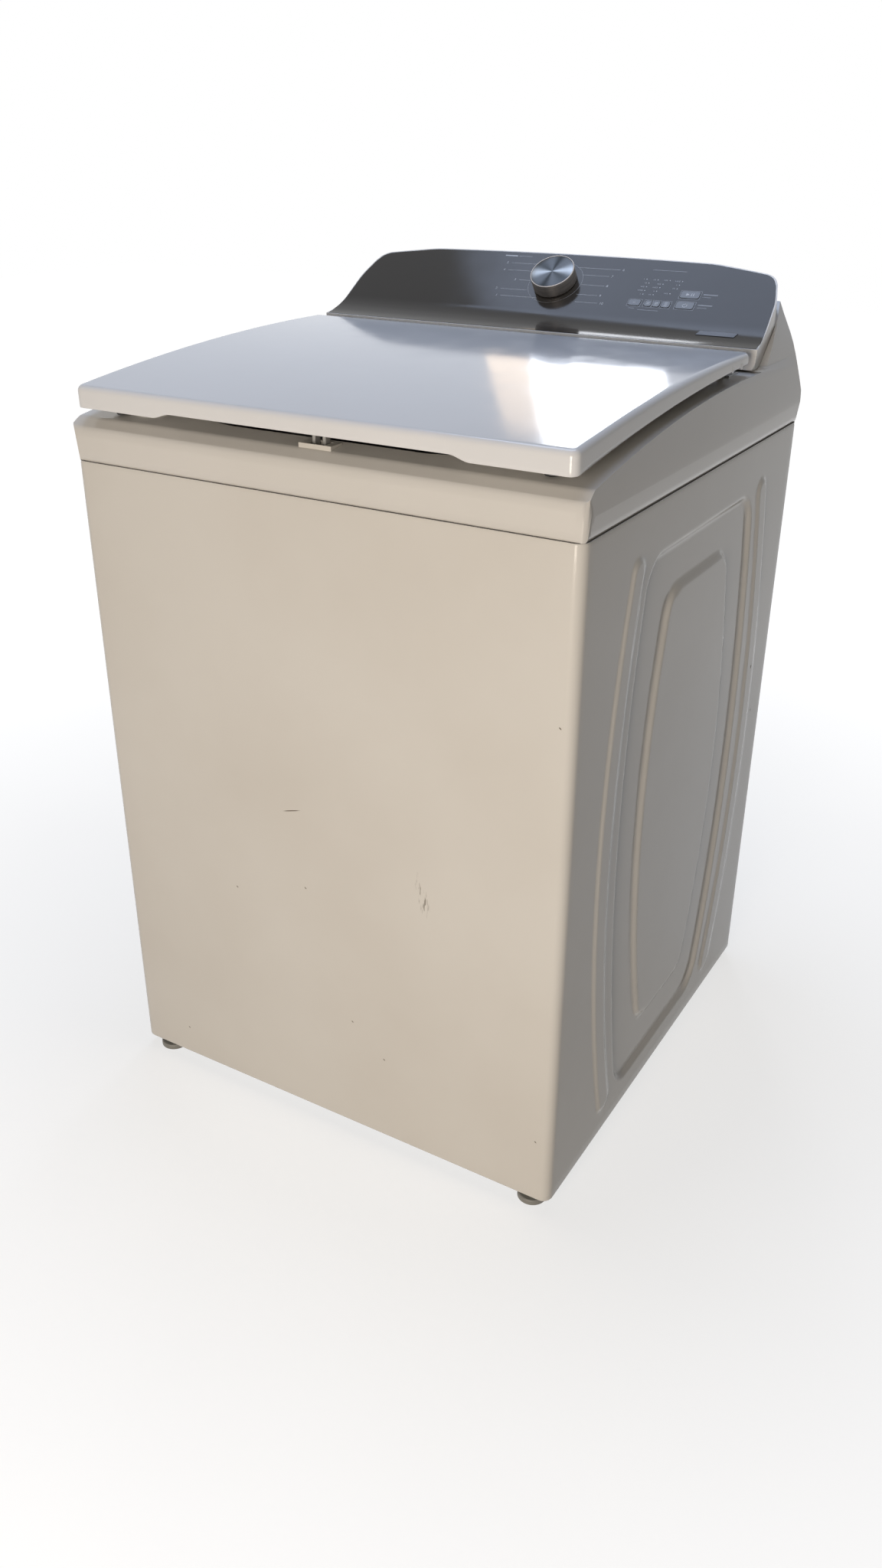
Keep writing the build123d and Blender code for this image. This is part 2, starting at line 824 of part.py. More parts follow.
with BuildPart() as badge_plate:
    with BuildSketch(badge_plane.offset(badge_thickness)):
        width, height = badge_size
        with BuildLine():
            Polyline(
                (-width / 2 - badge_slant, -height / 2),
                (width / 2 - badge_slant, -height / 2),
                (width / 2 + badge_slant, height / 2),
                (-width / 2 + badge_slant, height / 2),
                close=True,
            )
        make_face()
    extrude(amount=-2 * badge_thickness)
    add(fascia_plate.part, mode=Mode.SUBTRACT)
save(badge_plate, "badge_plate")

switch_gap = 0.2
switch_size = 6.0
encoder_radius = 10.0
encoder_height = 8.0

with BuildPart() as user_interface_board:
    with BuildSketch(face_plane(-board_depth)):
        with Locations(board_centre):
            Rectangle(*board_size)
    extrude(amount=-board_thickness)
    with BuildSketch(face_plane(-board_depth)):
        for x, up, width, height in key_places.values():
            with Locations((x, up)):
                Rectangle(switch_size, switch_size)
    extrude(amount=board_depth - key_depth - key_travel - switch_gap)
    with BuildSketch(face_plane(-board_depth)):
        Circle(encoder_radius)
    extrude(amount=encoder_height)
    with BuildSketch(face_plane(-board_depth)):
        Circle(knob_shaft + running_gap)
    extrude(amount=encoder_height, mode=Mode.SUBTRACT)
save(user_interface_board, "user_interface_board")

for key_name, (x, up, width, height) in key_places.items():
    with BuildPart() as key:
        with BuildSketch(face_plane(key_proud)):
            with Locations((x, up)):
                RectangleRounded(width, height, key_corner)
        extrude(amount=-key_proud - key_depth)
        with BuildSketch(face_plane(-fascia_thickness - key_gap)):
            with Locations((x, up)):
                RectangleRounded(width + 2 * key_flange, height + 2 * key_flange, key_corner + key_flange)
        extrude(amount=-1.5 * key_flange)
    save(key, key_name)

cap_thickness = 3.0
cap_recess = 0.5
knob_hub = 7.0

with BuildPart() as knob_ring:
    with BuildSketch(face_plane(knob_gap)):
        Circle(knob_radius)
        Circle(knob_radius - knob_wall, mode=Mode.SUBTRACT)
    extrude(amount=knob_height - knob_gap)
    rim = knob_ring.faces().sort_by(Axis(face_plane().origin, face_plane().z_dir))[-1]
    chamfer(rim.outer_wire().edges(), 0.6)
save(knob_ring, "knob_ring")

with BuildPart() as knob_cap:
    with BuildSketch(face_plane(knob_height - cap_recess - cap_thickness)):
        Circle(knob_radius - knob_wall)
    extrude(amount=cap_thickness)
    with BuildSketch(face_plane(knob_gap)):
        Circle(knob_hub)
    extrude(amount=knob_height - cap_recess - cap_thickness - knob_gap)
    with BuildSketch(face_plane(knob_gap)):
        Circle(knob_shaft)
    extrude(amount=-(board_depth - 2.0 + knob_gap))
save(knob_cap, "knob_cap")

control_box_size = (150.0, 50.0, 34.0)
control_box_inset = (176.0, 63.5)
control_box_place = (control_box_inset[0] - half_width, half_depth - control_box_inset[1])
sensor_x = 60.0
sensor_inset = 51.5
sensor_radius = 16.0
sensor_height = 20.0
nipple_radius = 3.0

with BuildPart() as main_control_box:
    with Locations((*control_box_place, console_base)):
        Box(*control_box_size, align=low_align)
    fillet(main_control_box.edges().filter_by(Axis.Z), 4.0)
save(main_control_box, "main_control_box")

with BuildPart() as pressure_sensor:
    with Locations((sensor_x, half_depth - sensor_inset, console_base)):
        Cylinder(sensor_radius, sensor_height, align=low_align)
        Cylinder(nipple_radius, sensor_height + 10.0, align=low_align)
save(pressure_sensor, "pressure_sensor")

# ------------------------------------------------------------------ lid

lid_middle = (lid_front + lid_rear) / 2
lid_depth = lid_rear - lid_front


def lid_curve(heights, lift=0.0):
    """Return the three points, in (y, z), of one of the lid's crowned arcs."""
    return [(y, z + lift) for y, z in zip((lid_front, lid_middle, lid_rear), heights)]


def lid_scoop(grow):
    """Return the cut for the finger scoop in the lid's front edge, grown all round."""
    side = scoop_width / 2
    low = lid_low_heights[0]
    with BuildPart() as cut:
        with BuildSketch(Plane.XZ.offset(-lid_front + lid_depth / 10)):
            with BuildLine():
                Polyline(
                    (-side - scoop_ramp, low - lid_depth / 10),
                    (-side - scoop_ramp, low),
                    (-side, low + scoop_height),
                    (side, low + scoop_height),
                    (side + scoop_ramp, low),
                    (side + scoop_ramp, low - lid_depth / 10),
                    close=True,
                )
            make_face()
            offset(amount=grow, kind=Kind.INTERSECTION)
        extrude(amount=-(lid_depth / 10 + scoop_depth + grow))
    return cut.part


def lid_block(inset):
    """Return the lid's closed form, drawn in by an inset."""
    with BuildPart() as block:
        with BuildSketch(Plane.YZ):
            with BuildLine():
                low = ThreePointArc(*lid_curve(lid_low_heights))
                top = ThreePointArc(*lid_curve(lid_top_heights))
                Line(low @ 0, top @ 0)
                Line(low @ 1, top @ 1)
            make_face()
            offset(amount=-inset, kind=Kind.INTERSECTION)
        extrude(amount=lid_width / 2 - inset, both=True)
        fillet(block.edges().filter_by(Axis.Z), lid_corner - inset)
        fillet(block.faces().sort_by(Axis.Z)[-1].edges(), lid_edge - inset)
        add(lid_scoop(inset), mode=Mode.SUBTRACT)
    return block.part


def lid_band(low, high):
    """Return the layer between two heights above the lid's lower arc, wider than the lid."""
    with BuildPart() as band:
        with BuildSketch(Plane.YZ):
            with BuildLine():
                lower = ThreePointArc(*lid_curve(lid_low_heights, low))
                upper = ThreePointArc(*lid_curve(lid_low_heights, high))
                Line(lower @ 0, upper @ 0)
                Line(lower @ 1, upper @ 1)
            make_face()
        extrude(amount=lid_width, both=True)
    return band.part


lid_inside = lid_block(lid_sheet)
notch_rise = 8.0
notch_reach = 7.0
notch_gap = 0.7
boss_width = 7.5
pin_length = hinge_ear_width + 2 * (boss_width + notch_gap)

with BuildPart() as hem_cut:
    with BuildSketch(Plane.XY):
        with Locations((0, lid_middle)):
            RectangleRounded(lid_width - 2 * lid_hem, lid_depth - 2 * lid_hem, lid_corner)
    extrude(amount=2 * cabinet_top)
    add(lid_band(-lid_hem, 1.5 * lid_sheet), mode=Mode.INTERSECT)

with BuildPart() as hinge_notches:
    with Locations(*[(side * hinge_x, hinge_y - notch_reach, hinge_z + notch_rise) for side in (-1, 1)]):
        Box(
            hinge_ear_width + 2 * notch_gap,
            lid_depth,
            lid_depth / 4,
            align=(Align.CENTER, Align.MIN, Align.MAX),
        )

with BuildPart() as lid_skin:
    add(lid_block(0))
    add(lid_inside, mode=Mode.SUBTRACT)
    add(hem_cut.part, mode=Mode.SUBTRACT)
    add(hinge_notches.part, mode=Mode.SUBTRACT)
    with Locations(*[(side * hinge_x, hinge_y, hinge_z) for side in (-1, 1)]):
        Cylinder(hinge_pin, pin_length, rotation=(0, 90, 0), mode=Mode.SUBTRACT)
save(lid_skin, "lid_skin")

with BuildPart() as lid_liner:
    add(lid_band(lid_sheet, lid_sheet + liner_thickness))
    with Locations(*[(side * hinge_x, hinge_y, hinge_z) for side in (-1, 1)]):
        Box(pin_length, 2 * notch_reach, 2 * notch_reach)
    add(lid_inside, mode=Mode.INTERSECT)
    add(hinge_notches.part, mode=Mode.SUBTRACT)
    with Locations((0, hinge_y, hinge_z)):
        Cylinder(hinge_pin, lid_width, rotation=(0, 90, 0), mode=Mode.SUBTRACT)
save(lid_liner, "lid_liner")

with BuildPart() as lid_hinge_pins:
    with Locations(*[(side * hinge_x, hinge_y, hinge_z) for side in (-1, 1)]):
        Cylinder(hinge_pin, pin_length, rotation=(0, 90, 0))
save(lid_hinge_pins, "lid_hinge_pins")

bracket_foot = (30.0, 34.0, 2.0)

with BuildPart() as lid_hinge_brackets:
    for side in (-1, 1):
        with Locations((side * hinge_x, hinge_y, hinge_z)):
            Cylinder(hinge_ear, hinge_ear_width, rotation=(0, 90, 0))
            Box(hinge_ear_width, 2 * hinge_ear, hinge_z - deck_rear_z + panel_sheet / 2,
                align=high_align)
        with Locations((side * hinge_x, hinge_y, deck_rear_z + bracket_foot[2])):
            Box(bracket_foot[0], bracket_foot[1], bracket_foot[2] + panel_sheet,
                align=high_align)
    with Locations((0, hinge_y, hinge_z)):
        Cylinder(hinge_pin + running_gap, lid_width, rotation=(0, 90, 0), mode=Mode.SUBTRACT)
    add(panel_block(panel_sheet / 2, panel_under), mode=Mode.SUBTRACT)
    add(top_panel.part, mode=Mode.SUBTRACT)
save(lid_hinge_brackets, "lid_hinge_brackets")

bumper_inset = (56.0, 33.5)
bumper_place = (half_width - bumper_inset[0], bumper_inset[1] - half_depth)
bumper_radius = 8.0
bumper_low = height_on(deck_arc, bumper_place[1] + bumper_radius) + console_gap

with BuildPart() as lid_bumpers:
    with Locations(*[(side * bumper_place[0], bumper_place[1], bumper_low) for side in (-1, 1)]):
        Cylinder(bumper_radius, lid_low_heights[1] - bumper_low, align=low_align)
    add(lid_band(lid_sheet, lid_depth), mode=Mode.SUBTRACT)
save(lid_bumpers, "lid_bumpers")

strike_places = [(lock_x + side * prong_pitch / 2, lock_y, prong_low) for side in (-1, 1)]

with BuildPart() as lid_strike:
    with Locations(*strike_places):
        Box(prong_width, prong_depth, lid_low_heights[1] - prong_low, align=low_align)
    add(lid_band(lid_sheet, lid_depth), mode=Mode.SUBTRACT)
    with Locations((lock_x, lock_y, bolt_height)):
        Cylinder(window_radius, lock_width, rotation=(0, 90, 0), mode=Mode.SUBTRACT)
save(lid_strike, "lid_strike")

lock_deck = height_on(deck_arc, lock_y)

with BuildPart() as lid_lock_housing:
    with Locations((lock_x, lock_y, lock_low)):
        Box(lock_width, lock_depth, lock_deck + panel_sheet - lock_low, align=low_align)
    add(panel_block(panel_sheet, panel_under), mode=Mode.INTERSECT)
    with Locations((lock_x, lock_y + lock_slot_shift, lock_low)):
        Box(*lock_collar, lock_deck + lock_proud - lock_low, align=low_align)
    with Locations((lock_x, lock_y + lock_slot_shift, prong_low - lock_proud)):
        Box(*lock_slot, lock_deck, align=low_align, mode=Mode.SUBTRACT)
    with Locations((lock_x, lock_y, bolt_height)):
        Cylinder(bolt_radius + running_gap, lock_width, rotation=(0, -90, 0), align=low_align,
                 mode=Mode.SUBTRACT)
save(lid_lock_housing, "lid_lock_housing")

with BuildPart() as lock_bolt:
    with Locations((lock_x - bolt_tip, lock_y, bolt_height)):
        Cylinder(bolt_radius, bolt_length, rotation=(0, -90, 0), align=low_align)
save(lock_bolt, "lock_bolt")

# ------------------------------------------------------------------ water and power

dispenser_centre = circle_through(*deck_arc)
dispenser_deck = height_on(deck_arc, dispenser_y)
dispenser_lean = math.atan2(dispenser_y - dispenser_centre[0], dispenser_deck - dispenser_centre[1])
dispenser_plane = Plane(
    origin=(dispenser_x, dispenser_y, dispenser_deck),
    x_dir=(1, 0, 0),
    z_dir=(0, math.sin(dispenser_lean), math.cos(dispenser_lean)),
)
ring_clearance = 13.0
ring_top = tub_high + tub_ring_height
dispenser_end = (
    dispenser_x + dispenser_reach[0],
    dispenser_y + dispenser_reach[1],
    ring_top + ring_clearance + dispenser_spout,
)
dispenser_start = (dispenser_x, dispenser_y, dispenser_end[2] + 13.0)

with BuildPart() as bleach_dispenser:
    with BuildSketch(dispenser_plane.offset(dispenser_wall)):
        Circle(dispenser_radius + dispenser_lip)
    extrude(amount=-2 * dispenser_wall)
    add(top_panel.part, mode=Mode.SUBTRACT)
    add(panel_block(panel_sheet / 2, panel_under), mode=Mode.SUBTRACT)
    with Locations((dispenser_x, dispenser_y, dispenser_deck - dispenser_depth)):
        Cylinder(dispenser_radius, dispenser_depth, align=low_align)
    with BuildSketch(Plane(origin=dispenser_start, z_dir=Vector(*dispenser_end) - Vector(*dispenser_start))):
        Circle(dispenser_spout)
    extrude(amount=(Vector(*dispenser_end) - Vector(*dispenser_start)).length)
    with Locations((dispenser_x, dispenser_y, dispenser_deck - dispenser_depth + dispenser_wall)):
        Cylinder(dispenser_radius - dispenser_wall, 2 * dispenser_depth, align=low_align, mode=Mode.SUBTRACT)
    with BuildSketch(Plane(origin=dispenser_start, z_dir=Vector(*dispenser_end) - Vector(*dispenser_start))):
        Circle(dispenser_spout - dispenser_wall)
    extrude(amount=2 * (Vector(*dispenser_end) - Vector(*dispenser_start)).length, mode=Mode.SUBTRACT)
save(bleach_dispenser, "bleach_dispenser")

valve_body = (110.0, 44.0, 48.0)
valve_outlet_y = tray_face - valve_body[1] / 2

with BuildPart() as water_inlet_valve:
    with Locations((valve_x, tray_face, port_height)):
        Box(*valve_body, align=(Align.CENTER, Align.MAX, Align.CENTER))
    for x, z in port_places:
        with Locations(Location((x, tray_face, z), (-90, 0, 0))):
            Cylinder(port_radius, port_length, align=low_align)
            Cylinder(port_bore, port_length, align=low_align, mode=Mode.SUBTRACT)
save(water_inlet_valve, "water_inlet_valve")

spout_end = (valve_x + spout_reach[0], tray_face - spout_reach[1], spout_height)
spout_start = (valve_x, valve_outlet_y, port_height + valve_body[2] / 2)


def pipe(points, bends, outer, inner):
    """Return a pipe along straight runs joined by arcs."""
    with BuildPart() as tube:
        with BuildLine():
            route = FilletPolyline(*points, radius=bends)
        with BuildSketch(Plane(origin=route @ 0, z_dir=route % 0)):
            Circle(outer)
            Circle(inner, mode=Mode.SUBTRACT)
        sweep()
    return tube.part


with BuildPart() as fill_spout:
    add(pipe([spout_start, (valve_x, valve_outlet_y, spout_height), spout_end], spout_bend, spout_radius,
             spout_radius - spout_wall))
save(fill_spout, "fill_spout")

hose_y = tray_face - hose_gap

with BuildPart() as drain_outlet:
    add(pipe(
        [
            (drain_x, hose_y, hose_top),
            (drain_x, hose_y, port_height),
            (drain_x, tray_face + port_length, port_height),
        ],
        outlet_bend,
        drain_radius,
        drain_bore,
    ))
    with Locations(Location((drain_x, tray_face, port_height), (-90, 0, 0))):
        Cylinder(drain_flange[0], drain_flange[1], align=high_align)
        Cylinder(drain_bore, drain_flange[1], align=high_align, mode=Mode.SUBTRACT)
save(drain_outlet, "drain_outlet")

bush_flange = 3.0

with BuildPart() as cord_inlet_bush:
    with Locations(Location((bush_x, tray_face - bush_flange, port_height), (-90, 0, 0))):
        Cylinder(bush_radius + bush_flange, bush_flange, align=low_align)
        Cylinder(bush_radius, 3 * bush_flange, align=low_align)
        Cylinder(bush_bore, 3 * bush_flange, align=low_align, mode=Mode.SUBTRACT)
save(cord_inlet_bush, "cord_inlet_bush")

# ------------------------------------------------------------------ tub and suspension

rod_places = [(x, y) for x in (-rod_x, rod_x) for y in (-rod_y, rod_y)]
pump_inlet = 14.0


def turned(profile):
    """Return the solid that a closed (radius, z) outline makes about the tub's axis."""
    with BuildPart() as solid:
        with BuildSketch(tub_section):
            with BuildLine():
                Polyline(*profile, close=True)
            make_face()
        revolve(axis=tub_axis)
    return solid.part


with BuildPart() as outer_tub:
    for x, y in rod_places:
        reach = math.hypot(x, y - tub_y)
        turn = math.degrees(math.atan2(y - tub_y, x))
        with Locations(Location((0, tub_y, ear_low), (0, 0, turn))):
            Box(reach, ear_width, ear_height, align=(Align.MIN, Align.CENTER, Align.MIN))
    with Locations(*[(x, y, ear_low) for x, y in rod_places]):
        Cylinder(ear_ring, ear_height, align=low_align)
        Cylinder(ear_hole, ear_height, align=low_align, mode=Mode.SUBTRACT)
    with Locations((*shaft_line, tub_low)):
        Cylinder(tub_radius, tub_high - tub_low, align=low_align)
        Cylinder(seal_radius, tub_high, align=low_align, mode=Mode.SUBTRACT)
    with Locations((*shaft_line, tub_low + tub_wall)):
        Cylinder(tub_radius - tub_wall, tub_high, align=low_align, mode=Mode.SUBTRACT)
    with Locations((pump_x, pump_y, 0)):
        Cylinder(pump_inlet, tub_low + 2 * tub_wall, align=low_align, mode=Mode.SUBTRACT)
save(outer_tub, "outer_tub")

lip_wall = 3.0
lip_overlap = 10.0
lip_drop = 12.0

with BuildPart() as tub_ring:
    add(turned([
        (tub_radius, tub_high - lip_overlap),
        (tub_radius + lip_wall, tub_high - lip_overlap),
        (tub_radius + lip_wall, ring_top),
        (tub_ring_inner, ring_top),
        (tub_ring_inner, ring_top - lip_drop),
        (tub_ring_inner + lip_wall, ring_top - lip_drop),
        (tub_ring_inner + lip_wall, ring_top - lip_wall),
        (tub_radius, ring_top - lip_wall),
    ]))
save(tub_ring, "tub_ring")

ball_seat = math.sqrt(rod_ball**2 - (rod_radius + 1.0) ** 2)
ball_height = bracket_height + ball_seat
bracket_tab = 24.0

with BuildPart() as suspension_brackets:
    for x, y in rod_places:
        out_x, out_y = math.copysign(1, x), math.copysign(1, y)
        with Locations((x + out_x * bracket_size / 2, y + out_y * bracket_size / 2, bracket_height)):
            Box(2 * bracket_size, 2 * bracket_size, bracket_sheet, align=high_align)
        with Locations((out_x * (half_width - sheet), y, bracket_height)):
            Box(2 * bracket_sheet, bracket_size, bracket_tab, align=high_align)
    with Locations((0, 0, bracket_height)):
        Box(cabinet_width, 2 * (rear_face - rear_sheet), 2 * bracket_tab, mode=Mode.INTERSECT)
    add(pressed_block(sheet), mode=Mode.INTERSECT)
    with Locations(*[(x, y, bracket_height) for x, y in rod_places]):
        Cylinder(rod_radius + 1.0, 4 * bracket_sheet, mode=Mode.SUBTRACT)
save(suspension_brackets, "suspension_brackets")

with BuildPart() as suspension_rods:
    for x, y in rod_places:
        with Locations((x, y, rod_cap_low)):
            Cylinder(rod_radius, ball_height - rod_cap_low, align=low_align)
            Cylinder(rod_cap_radius, rod_cap_height, align=low_align)
        with Locations((x, y, ball_height)):
            Sphere(rod_ball)
save(suspension_rods, "suspension_rods")

spring_low = rod_cap_low + rod_cap_height + spring_wire
spring_rise = ear_low - spring_wire - spring_low

with BuildPart() as suspension_springs:
    for x, y in rod_places:
        with BuildLine():
            coil = Helix(spring_rise / spring_turns, spring_rise, spring_radius, center=(x, y, spring_low))
        with BuildSketch(Plane(origin=coil @ 0, z_dir=coil % 0)):
            Circle(0.95 * spring_wire)
        sweep(path=coil)
save(suspension_springs, "suspension_springs")

# ------------------------------------------------------------------ basket and agitator

basket_inner = basket_radius - basket_wall
hub_low = tub_low + tub_wall + 7.0

with BuildPart() as wash_basket:
    with Locations((*shaft_line, basket_low)):
        Cylinder(basket_radius, basket_high - basket_low, align=low_align)
        Cylinder(basket_inner, basket_high - basket_low, align=low_align, mode=Mode.SUBTRACT)
    row_step = (basket_high - basket_low - balance_height) / (drain_rows + 1)
    for row in range(drain_rows):
        for column in range(drain_columns // 2):
            place = (*shaft_line, basket_low + basket_floor + (row + 0.8) * row_step)
            with Locations(Location(place, (90, 0, 360 * column / drain_columns))):
                Cylinder(drain_hole, 3 * basket_radius, mode=Mode.SUBTRACT)
save(wash_basket, "wash_basket")

with BuildPart() as basket_base:
    with Locations((*shaft_line, basket_low)):
        Cylinder(basket_inner, basket_floor, align=low_align)
        with PolarLocations(0.75 * basket_radius, drain_columns):
            Cylinder(1.5 * drain_hole, basket_floor, align=low_align, mode=Mode.SUBTRACT)
    with Locations((*shaft_line, hub_low)):
        Cylinder(hub_radius, basket_low - hub_low, align=low_align)
    with Locations((*shaft_line, spin_tube_low)):
        Cylinder(spin_tube, basket_low - spin_tube_low, align=low_align)
        Cylinder(shaft_radius + running_gap, basket_low, align=low_align, mode=Mode.SUBTRACT)
save(basket_base, "basket_base")

with BuildPart() as balance_ring:
    with Locations((*shaft_line, basket_high + 4.0)):
        Cylinder(basket_inner, balance_height, align=high_align)
        Cylinder(basket_inner - balance_width, balance_height, align=high_align,
                 mode=Mode.SUBTRACT)
    chamfer(balance_ring.edges().group_by(Axis.Z)[-1], 4.0)
save(balance_ring, "balance_ring")

post_wall = 4.0
boss_top = plate_low + boss_rise
flare_top = plate_low + flare_rise

with BuildPart() as agitator:
    add(turned([
        (shaft_radius, plate_low),
        (plate_radius, plate_low),
        (plate_radius, plate_low + plate_rises[0]),
        (0.66 * plate_radius, plate_low + plate_rises[1]),
        (post_low_radius, flare_top),
        (post_high_radius, post_high),
        (post_high_radius - post_wall, post_high),
        (post_low_radius - post_wall, flare_top + post_wall),
        (2 * shaft_radius, boss_top),
        (shaft_radius, boss_top),
    ]))
    for vane in range(vane_count):
        turn = math.radians(360 * (vane + 0.5) / vane_count)
        blade = Plane(origin=(*shaft_line, 0), x_dir=(math.cos(turn), math.sin(turn), 0),
                      z_dir=(math.sin(turn), -math.cos(turn), 0))
        with BuildSketch(blade):
            with BuildLine():
                Polyline(
                    (post_low_radius - post_wall / 2, plate_low + vane_foot[0]),
                    (plate_radius - vane_foot[1], plate_low + vane_foot[0]),
                    (plate_radius - vane_foot[1], plate_low + vane_foot[2]),
                    (post_low_radius + vane_shoulder[0], plate_low + vane_shoulder[1]),
                    (post_low_radius - post_wall - vane_root[0], plate_low + vane_root[1]),
                    close=True,
                )
            make_face()
        extrude(amount=vane_thickness / 2, both=True)
save(agitator, "agitator")

cup_low = post_high + console_gap
plug_depth = 14.0
plug_gap = 0.8

with BuildPart() as softener_cup:
    with Locations((*shaft_line, cup_low)):
        Cylinder(post_high_radius, cup_height, align=low_align)
    with Locations((*shaft_line, cup_low - plug_depth)):
        Cylinder(post_high_radius - post_wall - plug_gap, plug_depth, align=low_align)
    with Locations((*shaft_line, cup_low + cup_wall)):
        Cylinder(post_high_radius - cup_wall, cup_height, align=low_align, mode=Mode.SUBTRACT)
save(softener_cup, "softener_cup")

with BuildPart() as drive_shaft:
    with Locations((*shaft_line, shaft_low)):
        Cylinder(shaft_radius, boss_top - shaft_low, align=low_align)
save(drive_shaft, "drive_shaft")

# ------------------------------------------------------------------ drive, under the tub

motor_y = tub_y + motor_distance
groove_depth = 2.0
web_hole = 18.0
web_thickness = 5.0

with BuildPart() as drive_pulley:
    with Locations((*shaft_line, pulley_low)):
        Cylinder(pulley_radius, pulley_height, align=low_align)
        Cylinder(pulley_radius - 2 * web_thickness, pulley_height, align=low_align, mode=Mode.SUBTRACT)
        Cylinder(pulley_radius - web_thickness, web_thickness, align=low_align)
        Cylinder(2 * shaft_radius, pulley_height, align=low_align)
        with PolarLocations(0.55 * pulley_radius, 6):
            Cylinder(web_hole, pulley_height, align=low_align, mode=Mode.SUBTRACT)
        Cylinder(shaft_radius, pulley_height, align=low_align, mode=Mode.SUBTRACT)
save(drive_pulley, "drive_pulley")


def belt_loop(gap):
    """Return the loop round both pulleys at a gap from them."""
    with BuildSketch() as loop:
        with Locations(shaft_line):
            Circle(pulley_radius + gap)
        with Locations((0, motor_y)):
            Circle(motor_pulley + gap)
        make_hull()
    return loop.sketch


with BuildPart() as drive_belt:
    with BuildSketch(Plane.XY.offset(pulley_low + groove_depth)):
        add(belt_loop(belt_gap + belt_thickness))
        add(belt_loop(belt_gap), mode=Mode.SUBTRACT)
    extrude(amount=pulley_height - 2 * groove_depth)
save(drive_belt, "drive_belt")

motor_wall = 6.0
motor_high = tub_low - motor_wall
rotor_radius = 38.0
rotor_gap = 2.0
motor_foot = (150.0, 60.0)

with BuildPart() as drive_motor:
    with Locations((0, motor_y, motor_low)):
        Cylinder(motor_radius, motor_high - motor_low, align=low_align)
    with Locations((0, motor_y, motor_high)):
        Box(*motor_foot, motor_wall, align=low_align)
    with Locations((0, motor_y, motor_low + motor_wall)):
        Cylinder(rotor_radius + rotor_gap, motor_high - motor_low - 2 * motor_wall, align=low_align,
                 mode=Mode.SUBTRACT)
    with Locations((0, motor_y, motor_low)):
        Cylinder(motor_shaft + running_gap, motor_high - motor_low, align=low_align, mode=Mode.SUBTRACT)
save(drive_motor, "drive_motor")

with BuildPart() as motor_rotor:
    with Locations((0, motor_y, pulley_low)):
        Cylinder(motor_pulley, pulley_height, align=low_align)
        Cylinder(motor_shaft, motor_high - 2.0 - pulley_low, align=low_align)
    with Locations((0, motor_y, motor_low + motor_wall + rotor_gap)):
        Cylinder(rotor_radius, motor_high - motor_low - 2 * motor_wall - 2 * rotor_gap, align=low_align)
save(motor_rotor, "motor_rotor")

housing_low = slider_low + slider_height + 6.0

with BuildPart() as bearing_housing:
    add(turned([
        (bearing_outer, housing_low),
        (housing_radius, housing_low),
        (housing_radius, tub_low - 16.0),
        (housing_flange, tub_low - 6.0),
        (housing_flange, tub_low),
        (bearing_outer, tub_low),
    ]))
save(bearing_housing, "bearing_housing")

with BuildPart() as main_bearings:
    with Locations((*shaft_line, housing_low + 2.0), (*shaft_line, tub_low - bearing_height - 2.0)):
        Cylinder(bearing_outer, bearing_height, align=low_align)
        Cylinder(spin_tube + running_gap, bearing_height, align=low_align, mode=Mode.SUBTRACT)
save(main_bearings, "main_bearings")

with BuildPart() as tub_seal:
    with Locations((*shaft_line, tub_low)):
        Cylinder(seal_radius, hub_low - tub_low - 1.0, align=low_align)
        Cylinder(spin_tube + running_gap, hub_low - tub_low - 1.0, align=low_align, mode=Mode.SUBTRACT)
save(tub_seal, "tub_seal")

fork_reach = 70.0
fork_size = (14.0, 4.0)

with BuildPart() as clutch_slider:
    with Locations((*shaft_line, slider_low)):
        Cylinder(slider_radius, slider_height, align=low_align)
        Box(fork_reach, *fork_size, align=(Align.MIN, Align.CENTER, Align.MIN))
        Cylinder(spin_tube + running_gap, slider_height, align=low_align, mode=Mode.SUBTRACT)
save(clutch_slider, "clutch_slider")

pump_high = 160.0
pump_wall = 6.0
pump_motor = 26.0
pump_motor_low = 70.0
impeller_low = pump_low + pump_wall + 3.0
impeller_height = 24.0
impeller_shaft = 3.0
nozzle_x = pump_x + nozzle_reach

with BuildPart() as drain_pump:
    with Locations((pump_x, pump_y, pump_low)):
        Cylinder(pump_radius, pump_high - pump_low, align=low_align)
    with Locations((pump_x, pump_y, pump_motor_low)):
        Cylinder(pump_motor, pump_low - pump_motor_low, align=low_align)
    with Locations((pump_x, pump_y, pump_high)):
        Cylinder(pump_inlet + 2 * cup_wall, tub_low - pump_high, align=low_align)
    with Locations((pump_x, pump_y, nozzle_height)):
        Cylinder(hose_radius, nozzle_x - pump_x, rotation=(0, 90, 0), align=low_align)
        Cylinder(hose_radius - hose_wall, nozzle_x - pump_x, rotation=(0, 90, 0), align=low_align,
                 mode=Mode.SUBTRACT)
    with Locations((pump_x, pump_y, pump_low + pump_wall)):
        Cylinder(pump_radius - pump_wall, pump_high - pump_low - 2 * pump_wall, align=low_align,
                 mode=Mode.SUBTRACT)
        Cylinder(pump_inlet, tub_low, align=low_align, mode=Mode.SUBTRACT)
    with Locations((pump_x, pump_y, pump_low)):
        Cylinder(impeller_shaft + running_gap, pump_wall, align=low_align, mode=Mode.SUBTRACT)
save(drain_pump, "drain_pump")

with BuildPart() as pump_impeller:
    with Locations((pump_x, pump_y, impeller_low)):
        Cylinder(0.3 * impeller_radius, impeller_height, align=low_align)
        Box(2 * impeller_radius, 3.0, impeller_height, align=low_align)
        Box(3.0, 2 * impeller_radius, impeller_height, align=low_align)
    with Locations((pump_x, pump_y, pump_low + 1.0)):
        Cylinder(impeller_shaft, impeller_low - pump_low, align=low_align)
save(pump_impeller, "pump_impeller")

